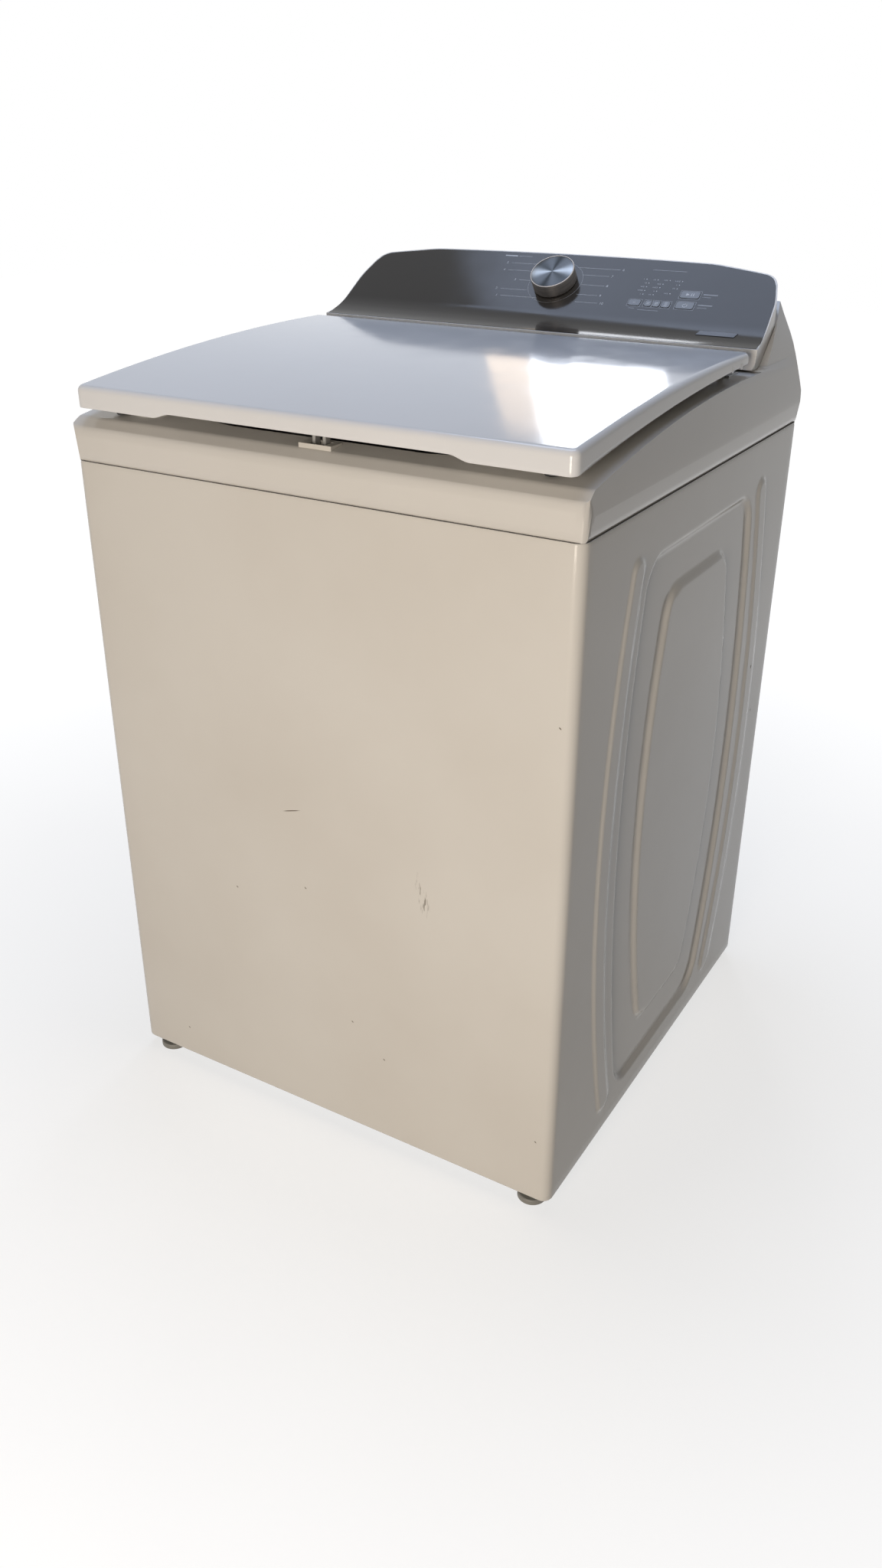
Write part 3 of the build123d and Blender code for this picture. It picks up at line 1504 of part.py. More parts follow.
with BuildPart() as drain_hose:
    add(pipe(
        [
            (nozzle_x, pump_y, nozzle_height),
            (drain_x, pump_y, nozzle_height),
            (drain_x, hose_y, nozzle_height),
            (drain_x, hose_y, hose_top),
        ],
        hose_bends,
        hose_radius,
        hose_radius - hose_wall,
    ))
save(drain_hose, "drain_hose")
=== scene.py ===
# %% [markdown]
# # A top load washing machine, dressed for its portrait
#
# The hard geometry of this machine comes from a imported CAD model: a pressed steel cabinet, a top
# panel, a lid on two pins, a leaning console and, inside, a tub that hangs on four springs.
# In these cells each visible part gets the surface that the real one has. Where the CAD solid is
# plain and the real part is soft-edged, a new surface is worked out with numpy and stands for it.

# %% Load the frame
import json
import math

import bmesh
import bpy
import numpy as np
from mathutils import Matrix, Vector


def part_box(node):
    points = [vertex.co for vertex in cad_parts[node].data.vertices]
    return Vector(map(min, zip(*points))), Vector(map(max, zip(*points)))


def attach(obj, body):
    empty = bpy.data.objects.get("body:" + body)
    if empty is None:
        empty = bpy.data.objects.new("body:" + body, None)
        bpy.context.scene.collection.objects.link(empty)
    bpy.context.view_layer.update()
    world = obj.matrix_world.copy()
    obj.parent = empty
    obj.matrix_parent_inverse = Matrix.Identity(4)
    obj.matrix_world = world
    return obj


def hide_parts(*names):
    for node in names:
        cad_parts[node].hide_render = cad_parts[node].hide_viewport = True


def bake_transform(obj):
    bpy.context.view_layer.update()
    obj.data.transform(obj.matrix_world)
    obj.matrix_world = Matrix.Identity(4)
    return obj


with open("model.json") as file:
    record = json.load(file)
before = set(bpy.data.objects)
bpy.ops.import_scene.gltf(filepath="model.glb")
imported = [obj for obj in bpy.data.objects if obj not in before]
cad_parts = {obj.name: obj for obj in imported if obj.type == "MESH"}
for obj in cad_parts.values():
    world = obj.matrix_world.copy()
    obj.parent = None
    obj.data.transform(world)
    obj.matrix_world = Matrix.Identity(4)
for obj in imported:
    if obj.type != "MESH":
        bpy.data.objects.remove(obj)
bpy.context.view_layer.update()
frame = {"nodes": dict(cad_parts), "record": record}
MM = 0.001
members = frame["record"]["behaviour"]["bodies"]
BODY = {node: body for body, nodes in members.items() for node in nodes}

# %% [markdown]
# ## Small tools
#
# Colours are written as the hex codes a paint card would show, and one function turns them into
# the linear light that the renderer adds up. A second one adds a shader node with its settings
# and links in a single call, so that a material reads as a list. A third one turns an array of
# points and an array of faces into a piece that rides on one of the machine's moving bodies.
# Most pieces are grids of points, and sheet steel gets its thickness from a Solidify.

# %% Colours and nodes


def linear(code):
    """Turn sRGB hex into linear light: c / 12.92 below 0.04045, else ((c + 0.055) / 1.055) to the 2.4."""
    parts = [int(code[i:i + 2], 16) / 255 for i in (1, 3, 5)]
    return tuple(c / 12.92 if c <= 0.04045 else ((c + 0.055) / 1.055) ** 2.4 for c in parts) + (1.0,)


def shaded(code, share):
    """A hex colour in linear light, at a share of its brightness."""
    return tuple(c * share for c in linear(code)[:3]) + (1.0,)


def add(tree, kind, inputs=(), **settings):
    """Add a shader node with its inputs, by name or in order, and link or set each of them.

    An input may be a value, a hex colour, another node's socket, or a node, for its first output in use.
    """
    node = tree.nodes.new("ShaderNode" + kind)
    for name, value in settings.items():
        setattr(node, name, value)
    for name, value in inputs.items() if isinstance(inputs, dict) else enumerate(inputs):
        if isinstance(value, bpy.types.Node):
            value = next(output for output in value.outputs if output.enabled)
        if isinstance(value, bpy.types.NodeSocket):
            tree.links.new(value, node.inputs[name])
        else:
            node.inputs[name].default_value = linear(value) if isinstance(value, str) else value
    return node


print("enamel white in linear light:", [round(c, 3) for c in linear("#E6E3DD")[:3]])

# %% Pieces from points, grids and sheet


def linked(name, data):
    """Make an object for a mesh, curve, light or camera, and link it to the scene."""
    thing = bpy.data.objects.new(name, data)
    bpy.context.scene.collection.objects.link(thing)
    return thing


def make_piece(name, points, faces, material, body, stands_for=(), smooth=True):
    """Make a mesh from millimetre points and index faces, and let it ride on a body, if it has just one."""
    mesh = bpy.data.meshes.new(name)
    mesh.from_pydata((np.asarray(points, float) * MM).tolist(), [], [list(face) for face in faces])
    mesh.polygons.foreach_set("use_smooth", np.full(len(mesh.polygons), smooth))
    mesh.materials.append(material)
    mesh.update()
    piece = linked(name, mesh)
    if body:
        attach(piece, body)
    if stands_for:
        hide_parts(*stands_for)
    return piece


def grid_faces(rows, columns, closed=False):
    """Quads between neighbours of a rows by columns grid; closed joins its last column to the first."""
    r, c = np.meshgrid(np.arange(rows - 1), np.arange(columns if closed else columns - 1), indexing="ij")
    right = (c + 1) % columns
    corners = (r * columns + c, r * columns + right, (r + 1) * columns + right, (r + 1) * columns + c)
    return np.stack(corners, -1).reshape(-1, 4)


def grid_piece(name, grids, material, body, stands_for=(), closed=True, smooth=True):
    """Make one piece from a grid of points, or from an array of grids of equal size."""
    rows, columns = grids.shape[-3:-1]
    points = grids.reshape(-1, 3)
    one = grid_faces(rows, columns, closed)
    faces = np.concatenate([one + start for start in range(0, len(points), rows * columns)])
    return make_piece(name, points, faces, material, body, stands_for, smooth)


def thicken(piece, sheet_mm):
    """Give a surface its sheet's thickness, on the inner side."""
    wall = piece.modifiers.new("sheet thickness", "SOLIDIFY")
    wall.thickness, wall.offset = sheet_mm * MM, -1.0


print("faces of a 3 by 4 grid:", len(grid_faces(3, 4)))

# %% [markdown]
# ## The camera
#
# The machine is seen from the right of its front, from about the height of a standing person's
# chest, with a lens short enough that the cabinet narrows towards the floor. The camera is set
# from two angles and a distance to a point inside the cabinet, because that is how a person walks
# round a machine and steps back from it.

# %% Set up the camera
azimuth, elevation, roll = (math.radians(angle) for angle in (30.65, 27.28, 0.27))
distance, aim = 1.94542, Vector((-0.0272, 0.0, 0.38321))
LENS, SENSOR = 29.40609375, 36.0
level_reach = math.cos(elevation)
back = Vector((math.sin(azimuth) * level_reach, -math.cos(azimuth) * level_reach, math.sin(elevation)))
right = Vector((math.cos(azimuth), math.sin(azimuth), 0.0))
up = back.cross(right)
right, up = math.cos(roll) * right + math.sin(roll) * up, math.cos(roll) * up - math.sin(roll) * right
camera_data = bpy.data.cameras.new("camera")
camera_data.lens, camera_data.sensor_width, camera_data.clip_end = LENS, SENSOR, 50.0
camera = linked("camera", camera_data)
turn = Matrix((right, up, back)).transposed().to_4x4()
camera.matrix_world = Matrix.Translation(aim + back * distance) @ turn
bpy.context.scene.camera = camera
print("lens", round(camera_data.lens, 2), "mm, camera at", [round(c, 3) for c in camera.location])

# %% [markdown]
# ## Sprayed and baked enamel
#
# The cabinet, the top panel and the lid are steel with a sprayed, baked coat. Such a coat is
# glossy, but the droplets never level out fully and leave an "orange peel" of ripples about
# 3 mm across and a few hundredths of a millimetre high. It breaks up the edge of each
# reflection. The peel is a bump made from noise on Object coordinates, which are metres here, so
# a scale of 1 / 0.003 gives 3 mm ripples.
#
# A used machine has marks as well. Each one here is an ellipsoid in space, turned to lie along
# the mark, where the paint is darker and duller: one long scratch, a band of short scuffs from
# something that was dragged down the front, some specks, and chips at the rear edge of one side.

# %% Clouds of tone and the shader


def blank_material(name):
    """Return a new material, its empty node tree and its Object coordinates."""
    material = bpy.data.materials.new(name)
    material.use_nodes = True
    tree = material.node_tree
    tree.nodes.clear()
    return material, tree, add(tree, "TexCoord").outputs["Object"]


def mottled(tree, where, size_mm, detail, marks, first, second, most=1.0):
    """Two tones in clouds, and their noise. Its lumps are size_mm across.

    The share of the second tone is (noise - mark 1) / (mark 2 - mark 1), held between 0 and most.
    """
    lumps = add(tree, "TexNoise", {"Vector": where, "Scale": 1 / (size_mm * MM), "Detail": detail})
    share = add(tree, "MapRange", (lumps, marks[0], marks[1], 0.0, most))
    return add(tree, "Mix", {0: share, 6: first, 7: second}, data_type="RGBA"), lumps


def surface(tree, inputs, relief=()):
    """Add the Principled shader, over a bump if a relief of (height, strength, rise in mm) is given."""
    if relief:
        height, strength, rise_mm = relief
        bump = {"Height": height, "Strength": strength, "Distance": rise_mm * MM}
        inputs = {**inputs, "Normal": add(tree, "Bump", bump)}
    add(tree, "OutputMaterial", {"Surface": add(tree, "BsdfPrincipled", inputs)})


print("3 mm ripples need a noise scale of", round(1 / (3.0 * MM)))

# %% Marks of use
# FRONT is the front sheet's y. Each mark has its middle, its half sizes along x, y and z, and its turn
# about the y axis.
FRONT = -351.5
SCRATCH = [((-40.0, FRONT, 496.5), (16.0, 8.0, 0.9), -0.29)]
SPECKS = [((x, FRONT, z), (2.2, 6.0, 1.0), 0.7) for x, z in (
    (-256, 66), (329, 700), (-140, 351), (-24, 386), (44, 196), (94, 152), (324, 116))]
CHIPS = [((349.0, y, z), (6.0, 2.0, 3.6), 0.0) for y, z in ((273, 528), (261, 564), (297, 480))]
SCUFF = ((155.0, FRONT, 432.0), (9.0, 8.0, 34.0), -0.22)


def mark(tree, where, centre, half, turn):
    """Mask that is 1 inside an ellipsoid about a centre, turned about the y axis, and 0 outside."""
    local = add(tree, "Mapping", {"Vector": where, "Location": [c * MM for c in centre],
                                  "Rotation": (0.0, turn, 0.0), "Scale": [h * MM for h in half]},
                vector_type="TEXTURE")
    length = add(tree, "VectorMath", (local,), operation="LENGTH")
    return add(tree, "MapRange", (length, 0.6, 1.0, 1.0, 0.0))


def all_marks(tree, where):
    """Largest of all masks; the scuff's is broken into strokes by noise that is stretched upwards."""
    drawn = add(tree, "Mapping", {"Vector": where, "Rotation": (0.0, 0.22, 0.0), "Scale": (1.0, 0.2, 0.09)})
    streaks = add(tree, "TexNoise", {"Vector": drawn, "Scale": 1 / (1.6 * MM), "Detail": 3.0})
    strokes = add(tree, "MapRange", (streaks, 0.56, 0.62, 0.0, 0.7))
    total = add(tree, "Math", (mark(tree, where, *SCUFF), strokes), operation="MULTIPLY")
    for one in SCRATCH + SPECKS + CHIPS:
        total = add(tree, "Math", (total, mark(tree, where, *one)), operation="MAXIMUM")
    return total


print("marks:", len(SCRATCH + SPECKS + CHIPS) + 1)

# %% Baked enamel


def baked_enamel(name, colour, shade, peel, used=False, shine=0.5):
    """Enamel of a colour with a slightly darker shade in patches, a peel height and marks of use."""
    material, tree, where = blank_material(name)
    paint, _ = mottled(tree, where, 260.0, 3.0, (0.4, 0.7), colour, shade)
    smudges = add(tree, "TexNoise", {"Vector": where, "Scale": 1 / (45.0 * MM), "Detail": 4.0})
    gloss = add(tree, "MapRange", (smudges, 0.45, 0.75, 0.10, 0.17))
    if used:
        marks = all_marks(tree, where)
        paint = add(tree, "Mix", {0: marks, 6: paint, 7: "#7A7166"}, data_type="RGBA")
        gloss = add(tree, "Math", (gloss, marks), operation="MAXIMUM")
    fine = add(tree, "TexNoise", {"Vector": where, "Scale": 1 / (3.0 * MM), "Detail": 2.0})
    surface(tree, {"Base Color": paint, "Roughness": gloss, "IOR": 1.52, "Specular IOR Level": shine},
            (fine, 0.35, peel))
    return material


cabinet_enamel = baked_enamel("baked enamel on steel sheet", "#E2DFD9", "#DDD9D2", 0.02, True, 0.26)
panel_enamel = baked_enamel("baked enamel on the top panel", "#E2DFDA", "#DEDBD5", 0.02, False, 0.34)
lid_enamel = baked_enamel("baked enamel on the lid", "#EDEEF0", "#E9EAEC", 0.06)
print("materials so far:", len(bpy.data.materials))

# %% [markdown]
# ## The cabinet wrapper
#
# One sheet of steel is folded round the front and both sides. Each side is pressed so that it
# doesn't drum: two long ribs stand out, and between them a ring is sunk round a raised middle,
# all of them bowed outwards at mid height. Drawn steel can't have a sharp corner, so every
# pressing rises over a ramp some 9 mm wide. That soft ramp is what catches the light.
#
# The sheet is worked out as one grid. Its columns run round the machine and its rows run up.
# The side's columns bow with the pressings, so that a ramp always lies along the grid.

# %% Measurements of the cabinet
box_low, box_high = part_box("cabinet_wrapper")
RIB, SUNK = 3.0, 5.6
RIB_RAMP, RAMP = 6.5, 9.0
SHEET, CORNER, PRESS_Y = 1.2, 14.0, 6.0
side_x, front_y = box_high.x / MM - RIB, box_high.y / MM
low_z, high_z = box_low.z / MM, box_high.z / MM
# Each pressing: its lowest and highest z, its reach from PRESS_Y at its foot, middle and head, and
# the radius of its corners, which is half the width of a rib.
RING = (low_z + 42.0, high_z - 62.0, (150.0, 208.0, 175.0), 40.0)
MIDDLE = (low_z + 112.0, high_z - 120.0, (80.0, 137.0, 98.0), 30.0)
SPINE = (low_z + 58.0, high_z - 70.0, (196.0, 252.0, 211.0), 19.0)
print("cabinet: half width", round(side_x, 1), "half depth", round(front_y, 1), "height", low_z, high_z)

# %% Soft steps and bowed outlines


def soft(value):
    """Smooth step: 3 t^2 - 2 t^3 with t held between 0 and 1."""
    t = np.clip(value, 0.0, 1.0)
    return t * t * (3.0 - 2.0 * t)


def bow(reaches, low, high, z):
    """Reach, at height z, of the circle through three reaches at the low, middle and high heights."""
    a, b, c = (np.array(pair) for pair in zip((low, (low + high) / 2, high), reaches))
    centre = np.linalg.solve(2 * np.array([b - a, c - b]), np.array([b @ b - a @ a, c @ c - b @ b]))
    radius = np.hypot(*(a - centre))
    return centre[1] + np.sqrt(np.maximum(radius**2 - (z - centre[0]) ** 2, 0.0))


def beyond(low, high, z):
    """How far z is outside the span from low to high; less than 0 inside it."""
    return np.abs(z - (low + high) / 2) - (high - low) / 2


def depth_inside(off, z, pressing):
    """Distance into a bowed shape with round corners: r - |(a, b) held over 0| - min(max(a, b), 0)."""
    low, high, reaches, corner = pressing
    a, b = off - bow(reaches, low, high, z) + corner, beyond(low, high, z) + corner
    return corner - np.hypot(np.maximum(a, 0), np.maximum(b, 0)) - np.minimum(np.maximum(a, b), 0)


def pressing(y, z):
    """Height of the pressed side at (y, z): a sunk ring, its raised middle and two ribs, each a soft ramp."""
    off = np.abs(y - PRESS_Y)
    ring, middle = depth_inside(off, z, RING), depth_inside(off, z, MIDDLE)
    low, high, reaches, half_width = SPINE
    from_spine = off - bow(reaches, low, high, np.clip(z, low, high))
    rib = half_width - np.hypot(from_spine, np.maximum(beyond(low, high, z), 0))
    return RIB * soft(rib / RIB_RAMP) + SUNK * (soft((middle + 2.0) / RAMP) - soft(ring / RAMP))


def stations(*runs):
    """Join runs of (start, end, spacing) into one list of places without repeats."""
    places = [np.linspace(a, b, max(int(round((b - a) / step)), 1) + 1) for a, b, step in runs]
    return np.unique(np.round(np.concatenate(places), 4))


print("pressing at the middle:", round(float(pressing(PRESS_Y, 460.0)), 2), "mm")

# %% The cabinet's grid


def cabinet_grid():
    """Points of the folded sheet. Round the plan: flange, corner arc, side, corner arc, front, and back.

    A side's column at q is moved by a share of the bow, y = q + w(q) * (bow(z) - bow(middle)). The share
    grows from 0 at the middle to 1, is held along the pressings and fades to 0 at the corners. The ends
    of each column roll inwards over a quarter of a circle or, at the top, of an ellipse, which is how
    the sheet is hemmed.
    """
    hem, lip, lip_in = 3.5, 6.0, 1.3
    grown, held, fade = 150.0, 275.0, 60.0
    rows = stations((low_z + hem, 55, 20), (55, 105, 3.6), (105, 125, 10), (125, 165, 3.6), (165, 745, 16),
                    (745, 858, 3.6), (858, high_z - lip, 14))
    angles = np.radians([90.0, 68.0, 45.0, 22.0])
    z = np.concatenate([low_z + hem * (1 - np.sin(angles)), rows, high_z - lip * (1 - np.sin(angles[::-1]))])
    inset = np.concatenate([hem * (1 - np.cos(angles)), 0 * rows, lip_in * (1 - np.cos(angles[::-1]))])
    half = stations((0, 95, 16), (95, 146, 2.8), (146, 166, 10), (166, 217, 2.8), (217, 229, 6),
                    (229, 275, 2.8), (275, front_y - CORNER, 10))
    q = np.concatenate([-half[:0:-1], half]) + 0.0
    turn = np.radians(np.linspace(0, 90, 9))[1:-1]
    straight, deep = side_x - CORNER, front_y - CORNER
    arc = list(zip(CORNER * np.sin(turn), CORNER * (1 - np.cos(turn)), np.sin(turn), np.cos(turn)))
    plan = [(-x, front_y, 0.0, 1.0) for x in (straight - 10.0, straight)]
    plan += [(-straight - a, front_y - b, -sin, cos) for a, b, sin, cos in arc]
    plan += [(-side_x, y, -1.0, 0.0) for y in q[::-1]]
    plan += [(-side_x + b, -deep - a, -cos, -sin) for a, b, sin, cos in arc]
    plan += [(x, -front_y, 0.0, -1.0) for x in np.linspace(-straight, straight, 25)[:13]]
    plan = np.array(plan + [(-x, y, -nx, ny) for x, y, nx, ny in plan[-2::-1]])
    x, y, nx, ny = (np.broadcast_to(plan[:, i], (len(z), len(plan))) for i in range(4))
    heights = np.broadcast_to(z[:, None], x.shape)
    sideways, off = np.abs(nx) > 0.9999, np.abs(y)
    weight = soft(off / grown) * (1 - soft((off - held) / fade)) * sideways
    low, high, reaches, _ = RING
    y = y + np.sign(y) * weight * (bow(reaches, low, high, np.clip(heights, low, high)) - reaches[1])
    rise = np.where(sideways, pressing(y, heights), 0.0) - inset[:, None]
    return np.stack([x + nx * rise, y + ny * rise, heights], -1)


sheet_points = cabinet_grid()
cabinet_skin = grid_piece("cabinet_skin", sheet_points, cabinet_enamel, "machine",
                          ["cabinet_wrapper"], closed=False)
thicken(cabinet_skin, SHEET)
print("cabinet skin:", sheet_points.shape[:2], "grid")

# %% [markdown]
# Between the sheet's rolled top and the top panel lies a dark strip, a painted shadow that stands
# for the shade in the seam and shows as a fine dark line. It follows the sheet's last straight row, a hair
# further out.

# %% The painted shadow line under the top panel
FURTHER_OUT, RISE = 1.0012, 0.3
foot = sheet_points[-2] * (FURTHER_OUT, FURTHER_OUT, 1.0)
seam_shadow_band = np.stack([foot, foot * (1, 1, 0) + (0.0, 0.0, high_z + RISE)])
# The strip's dark colour is painted shadow, standing for the shade in the seam under the panel.
seam_shadow_paint = baked_enamel("painted seam shadow", "#55514C", "#484540", 0.05)
joint_strip = grid_piece("joint_strip", seam_shadow_band, seam_shadow_paint, "machine", closed=False)
thicken(joint_strip, 1.0)
print("painted seam shadow strip:", round(float(seam_shadow_band[0, 0, 2]), 1), "to", round(float(seam_shadow_band[1, 0, 2]), 1), "mm high")

# %% [markdown]
# ## Dressing a CAD piece
#
# Many CAD solids already have the right shape, but their edges are perfectly sharp and their
# surfaces are made of loose triangles. For those, a copy is merged, its flat triangles are
# joined into whole faces, a Bevel breaks each sharp edge by the radius a mould or a deburring
# tool leaves, and Weighted Normal keeps the big faces flat in their reflections.

# %% Merge a copy of a CAD node and break its edges


def dressed(name, node, bevel_mm, material, sharp=32.0, rides=True):
    """Copy a CAD node into a piece of its own, with every edge over sharp degrees bevelled."""
    mesh = bmesh.new()
    mesh.from_mesh(frame["nodes"][node].data)
    bmesh.ops.remove_doubles(mesh, verts=mesh.verts, dist=0.01 * MM)
    bmesh.ops.dissolve_limit(mesh, angle_limit=math.radians(0.4), verts=mesh.verts, edges=mesh.edges)
    data = bpy.data.meshes.new(name)
    mesh.to_mesh(data)
    mesh.free()
    data.materials.clear()
    data.materials.append(material)
    data.polygons.foreach_set("use_smooth", np.full(len(data.polygons), True))
    data.polygons.foreach_set("material_index", np.zeros(len(data.polygons), np.int32))
    data.set_sharp_from_angle(angle=math.radians(sharp))
    piece = linked(name, data)
    if bevel_mm:
        edge = piece.modifiers.new("broken edges", "BEVEL")
        edge.width, edge.segments = bevel_mm * MM, 3
        edge.limit_method, edge.angle_limit = "ANGLE", math.radians(sharp)
        edge.harden_normals = False
    even = piece.modifiers.new("flat faces stay flat", "WEIGHTED_NORMAL")
    even.keep_sharp = not bevel_mm
    if rides:
        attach(piece, BODY[node])
    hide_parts(node)
    return piece


top_panel = dressed("top_panel_skin", "top_panel", 2.4, panel_enamel)
print("top panel:", len(top_panel.data.polygons), "faces before its bevel")

# %% Ease the top panel's corners and ears


def ease_panel(piece):
    """Draw the foot of each corner in by up to 3 mm, so that it meets the cabinet, and lower the ears' tips.

    A corner point moves towards its arc's centre by 3 (1 - s((z - foot) / 30)), with s the soft step.
    An ear's point sinks by 12 s((z - 1000) / 76). The lowest edges get a fifth of the bevel's width.
    """
    draw_in, draw_over, arc_x, arc_y = 3.0, 30.0, side_x - 13.4, front_y - 14.4
    sink, ear_low, ear_over = 12.0, 1000.0, 76.0
    data = piece.data
    points = np.zeros(len(data.vertices) * 3)
    data.vertices.foreach_get("co", points)
    x, y, z = points.reshape(-1, 3).T / MM
    from_x, from_y = np.abs(x) - arc_x, np.abs(y) - arc_y
    reach = np.hypot(from_x, from_y)
    cornered = (from_x > 0.5) & (from_y > 0.5) & (reach > 13.0)
    pull = np.where(cornered, draw_in * (1 - soft((z - high_z) / draw_over)), 0.0) / np.maximum(reach, 1.0)
    x, y = x - np.sign(x) * from_x * pull, y - np.sign(y) * from_y * pull
    z = z - sink * soft((z - ear_low) / ear_over)
    data.vertices.foreach_set("co", (np.stack([x, y, z], -1) * MM).ravel())
    sharp, ends = np.zeros(len(data.edges), bool), np.zeros(2 * len(data.edges), np.int32)
    data.attributes["sharp_edge"].data.foreach_get("value", sharp)
    data.edges.foreach_get("vertices", ends)
    low_edge = z[ends.reshape(-1, 2)].max(1) < high_z + 1.0
    weights = data.attributes.new("bevel_weight_edge", "FLOAT", "EDGE")
    weights.data.foreach_set("value", np.where(sharp, np.where(low_edge, 0.2, 1.0), 0.0))
    piece.modifiers["broken edges"].limit_method = "WEIGHT"
    data.update()
    return int(cornered.sum())


print("corner points eased:", ease_panel(top_panel))

# %% [markdown]
# ## The lid
#
# The lid is a shallow steel pan turned upside down. Its top is a shallow arc from front to back,
# its edge is rolled over a 7 mm radius, and a 7 mm hem is folded in underneath. The front edge
# has a finger scoop, where the wall is 6 mm shorter between two S-shaped ramps.
#
# A grid of rings suits it. The first ring lies on the inner edge of the hem, the next ones climb
# the wall and go over the rolled edge, and the last ones shrink towards the lid's middle line.

# %% Measurements of the lid
lid_low, lid_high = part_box("lid_skin")
LID_X, LID_FRONT, LID_REAR = lid_high.x / MM, lid_low.y / MM, lid_high.y / MM
LID_MIDDLE, LID_HALF = (LID_FRONT + LID_REAR) / 2, (LID_REAR - LID_FRONT) / 2
ROLL, LID_CORNER, HEM, LID_SHEET = 7.0, 10.0, 7.0, 0.9
HINGE_X, NOTCH, NOTCH_DEEP, NOTCH_TOP = 300.0, 9.4, 8.0, 1018.5
SCOOP, SCOOP_X, SCOOP_RAMP = 6.0, 213.0, 26.0
# Heights at the front, the middle and the rear, of the wall's foot and of the top.
LID_FOOT, LID_TOP = (968.2, 996.4, 1008.0), (994.2, 1017.1, 1022.3)
print("lid:", round(2 * LID_X), "by", round(2 * LID_HALF), "mm")

# %% The lid's arcs and rings


def arc_height(heights, y):
    """Height, at a depth y, of the circle through three heights at the lid's front, middle and rear."""
    return bow(heights, LID_FRONT, LID_REAR, np.clip(y, LID_FRONT, LID_REAR))


def edge_stations():
    """Places along the front and rear edges: close on the scoop's ramps and at the hinge notches."""
    notch_in, notch_out = HINGE_X - NOTCH / 2, HINGE_X + NOTCH / 2
    half = stations((0, 180, 24), (180, 220, 4), (220, notch_in, 18), (notch_in, notch_out, NOTCH),
                    (notch_out, 320, 6))
    return np.concatenate([-half[:0:-1], half])


def ring_plan(inset):
    """Rounded rectangle drawn in by an inset: two edges and two corners, then the same turned by half."""
    across, along = LID_X - inset, LID_HALF - inset
    corner = min(max(LID_CORNER - inset, 2.5), max(along - 0.01, 0.0))
    a, b = across - corner, along - corner
    edge, end = edge_stations() / (LID_X - LID_CORNER), np.linspace(-1, 1, 21)[1:-1]
    turn = np.radians(np.linspace(0, 90, 9))
    sin, cos = np.sin(turn), np.cos(turn)
    x = np.concatenate([a * edge, a + corner * sin, across + 0 * end, a + corner * cos])
    y = np.concatenate([-along + 0 * edge, -b - corner * cos, b * end, b + corner * sin])
    return np.concatenate([x, -x]), np.concatenate([y, -y])


def lid_rings():
    """Rings of the pan, from the hem's inner edge over the wall and the rolled edge to the middle.

    On the wall the height is a share of the way from the lower edge to the start of the roll.
    On the roll, at an angle t, the inset is r (1 - cos t) and the height is r (sin t - 1) below the top.
    """
    fold = 1.4
    rings = [(HEM, 0.0, "low"), (4.0, 0.0, "low"), (fold, 0.0, "low"), (fold * 0.3, 0.3 * fold, "low")]
    rings += [(0.0, share, "wall") for share in (0.0, 0.25, 0.5, 0.75, 1.0)]
    for t in np.radians(np.arange(10, 91, 10)):
        rings.append((ROLL * (1 - math.cos(t)), ROLL * (math.sin(t) - 1), "top"))
    for inset in (9, 12, 17, 25, 37, 55, 80, 110, 145, 180, 215, LID_HALF - 12, LID_HALF):
        rings.append((inset, 0.0, "top"))
    layers = []
    for inset, value, kind in rings:
        x, y = ring_plan(inset)
        y = y + LID_MIDDLE
        scoop = SCOOP * soft((SCOOP_X - np.abs(x)) / SCOOP_RAMP) * soft((LID_FRONT + 22.0 - y) / 14.0)
        low, top = arc_height(LID_FOOT, y) + scoop, arc_height(LID_TOP, y)
        wall_low, wall_high = low + fold, top - ROLL
        z = {"low": low + value, "wall": wall_low + (wall_high - wall_low) * value, "top": top + value}[kind]
        layers.append(np.stack([x, y, z], -1))
    return np.array(layers)


rings = lid_rings()
print("lid rings:", rings.shape)

# %% Build the lid's skin
faces = grid_faces(*rings.shape[:2], closed=True)
centres = rings.reshape(-1, 3)[faces].mean(1)
in_notch = (np.abs(np.abs(centres[:, 0]) - HINGE_X) < NOTCH / 2) & (centres[:, 2] < NOTCH_TOP)
in_notch &= centres[:, 1] > LID_REAR - NOTCH_DEEP
lid_skin = make_piece("lid_pan", rings.reshape(-1, 3), faces[~in_notch], lid_enamel, "lid",
                      ["lid_skin"])
pan = bmesh.new()
pan.from_mesh(lid_skin.data)
bmesh.ops.remove_doubles(pan, verts=pan.verts, dist=0.02 * MM)
pan.to_mesh(lid_skin.data)
pan.free()
thicken(lid_skin, LID_SHEET)
print("lid pan:", len(lid_skin.data.polygons), "faces")

# %% [markdown]
# ## The console: a moulded pod with a film face
#
# The pod behind the lid is injection moulded in white ABS. A mould for such a part is polished,
# so it is nearly as glossy as the lid, with only a very fine texture. Its face carries a dark
# polyester film that is printed from behind, so its surface is as flat and shiny as glass.

# %% Console plastics


def moulded(name, colour, gloss, grain_mm, grain_height, shade=0.94, shine=0.5):
    """A moulded plastic: grain that the mould's surface gave it, and faint clouds of tone."""
    material, tree, where = blank_material(name)
    tone, clouds = mottled(tree, where, 60.0, 3.0, (0.35, 0.7), colour, shaded(colour, shade))
    grain = add(tree, "TexNoise", {"Vector": where, "Scale": 1 / (grain_mm * MM), "Detail": 3.0})
    rough = add(tree, "MapRange", (clouds, 0.3, 0.7, gloss, gloss + 0.06))
    surface(tree, {"Base Color": tone, "Roughness": rough, "IOR": 1.49, "Specular IOR Level": shine},
            (grain, 0.4, grain_height))
    return material


console_abs = moulded("moulded white ABS", "#F1EFEC", 0.22, 0.9, 0.01)
film = moulded("printed polyester film, dark grey", "#322F2C", 0.10, 0.5, 0.002, 0.9, 0.25)
housing = dressed("console_pod", "console_housing", 0.9, console_abs)
fascia = dressed("console_film", "console_fascia", 0.35, film)
print("console:", len(housing.data.polygons), "+", len(fascia.data.polygons), "faces")
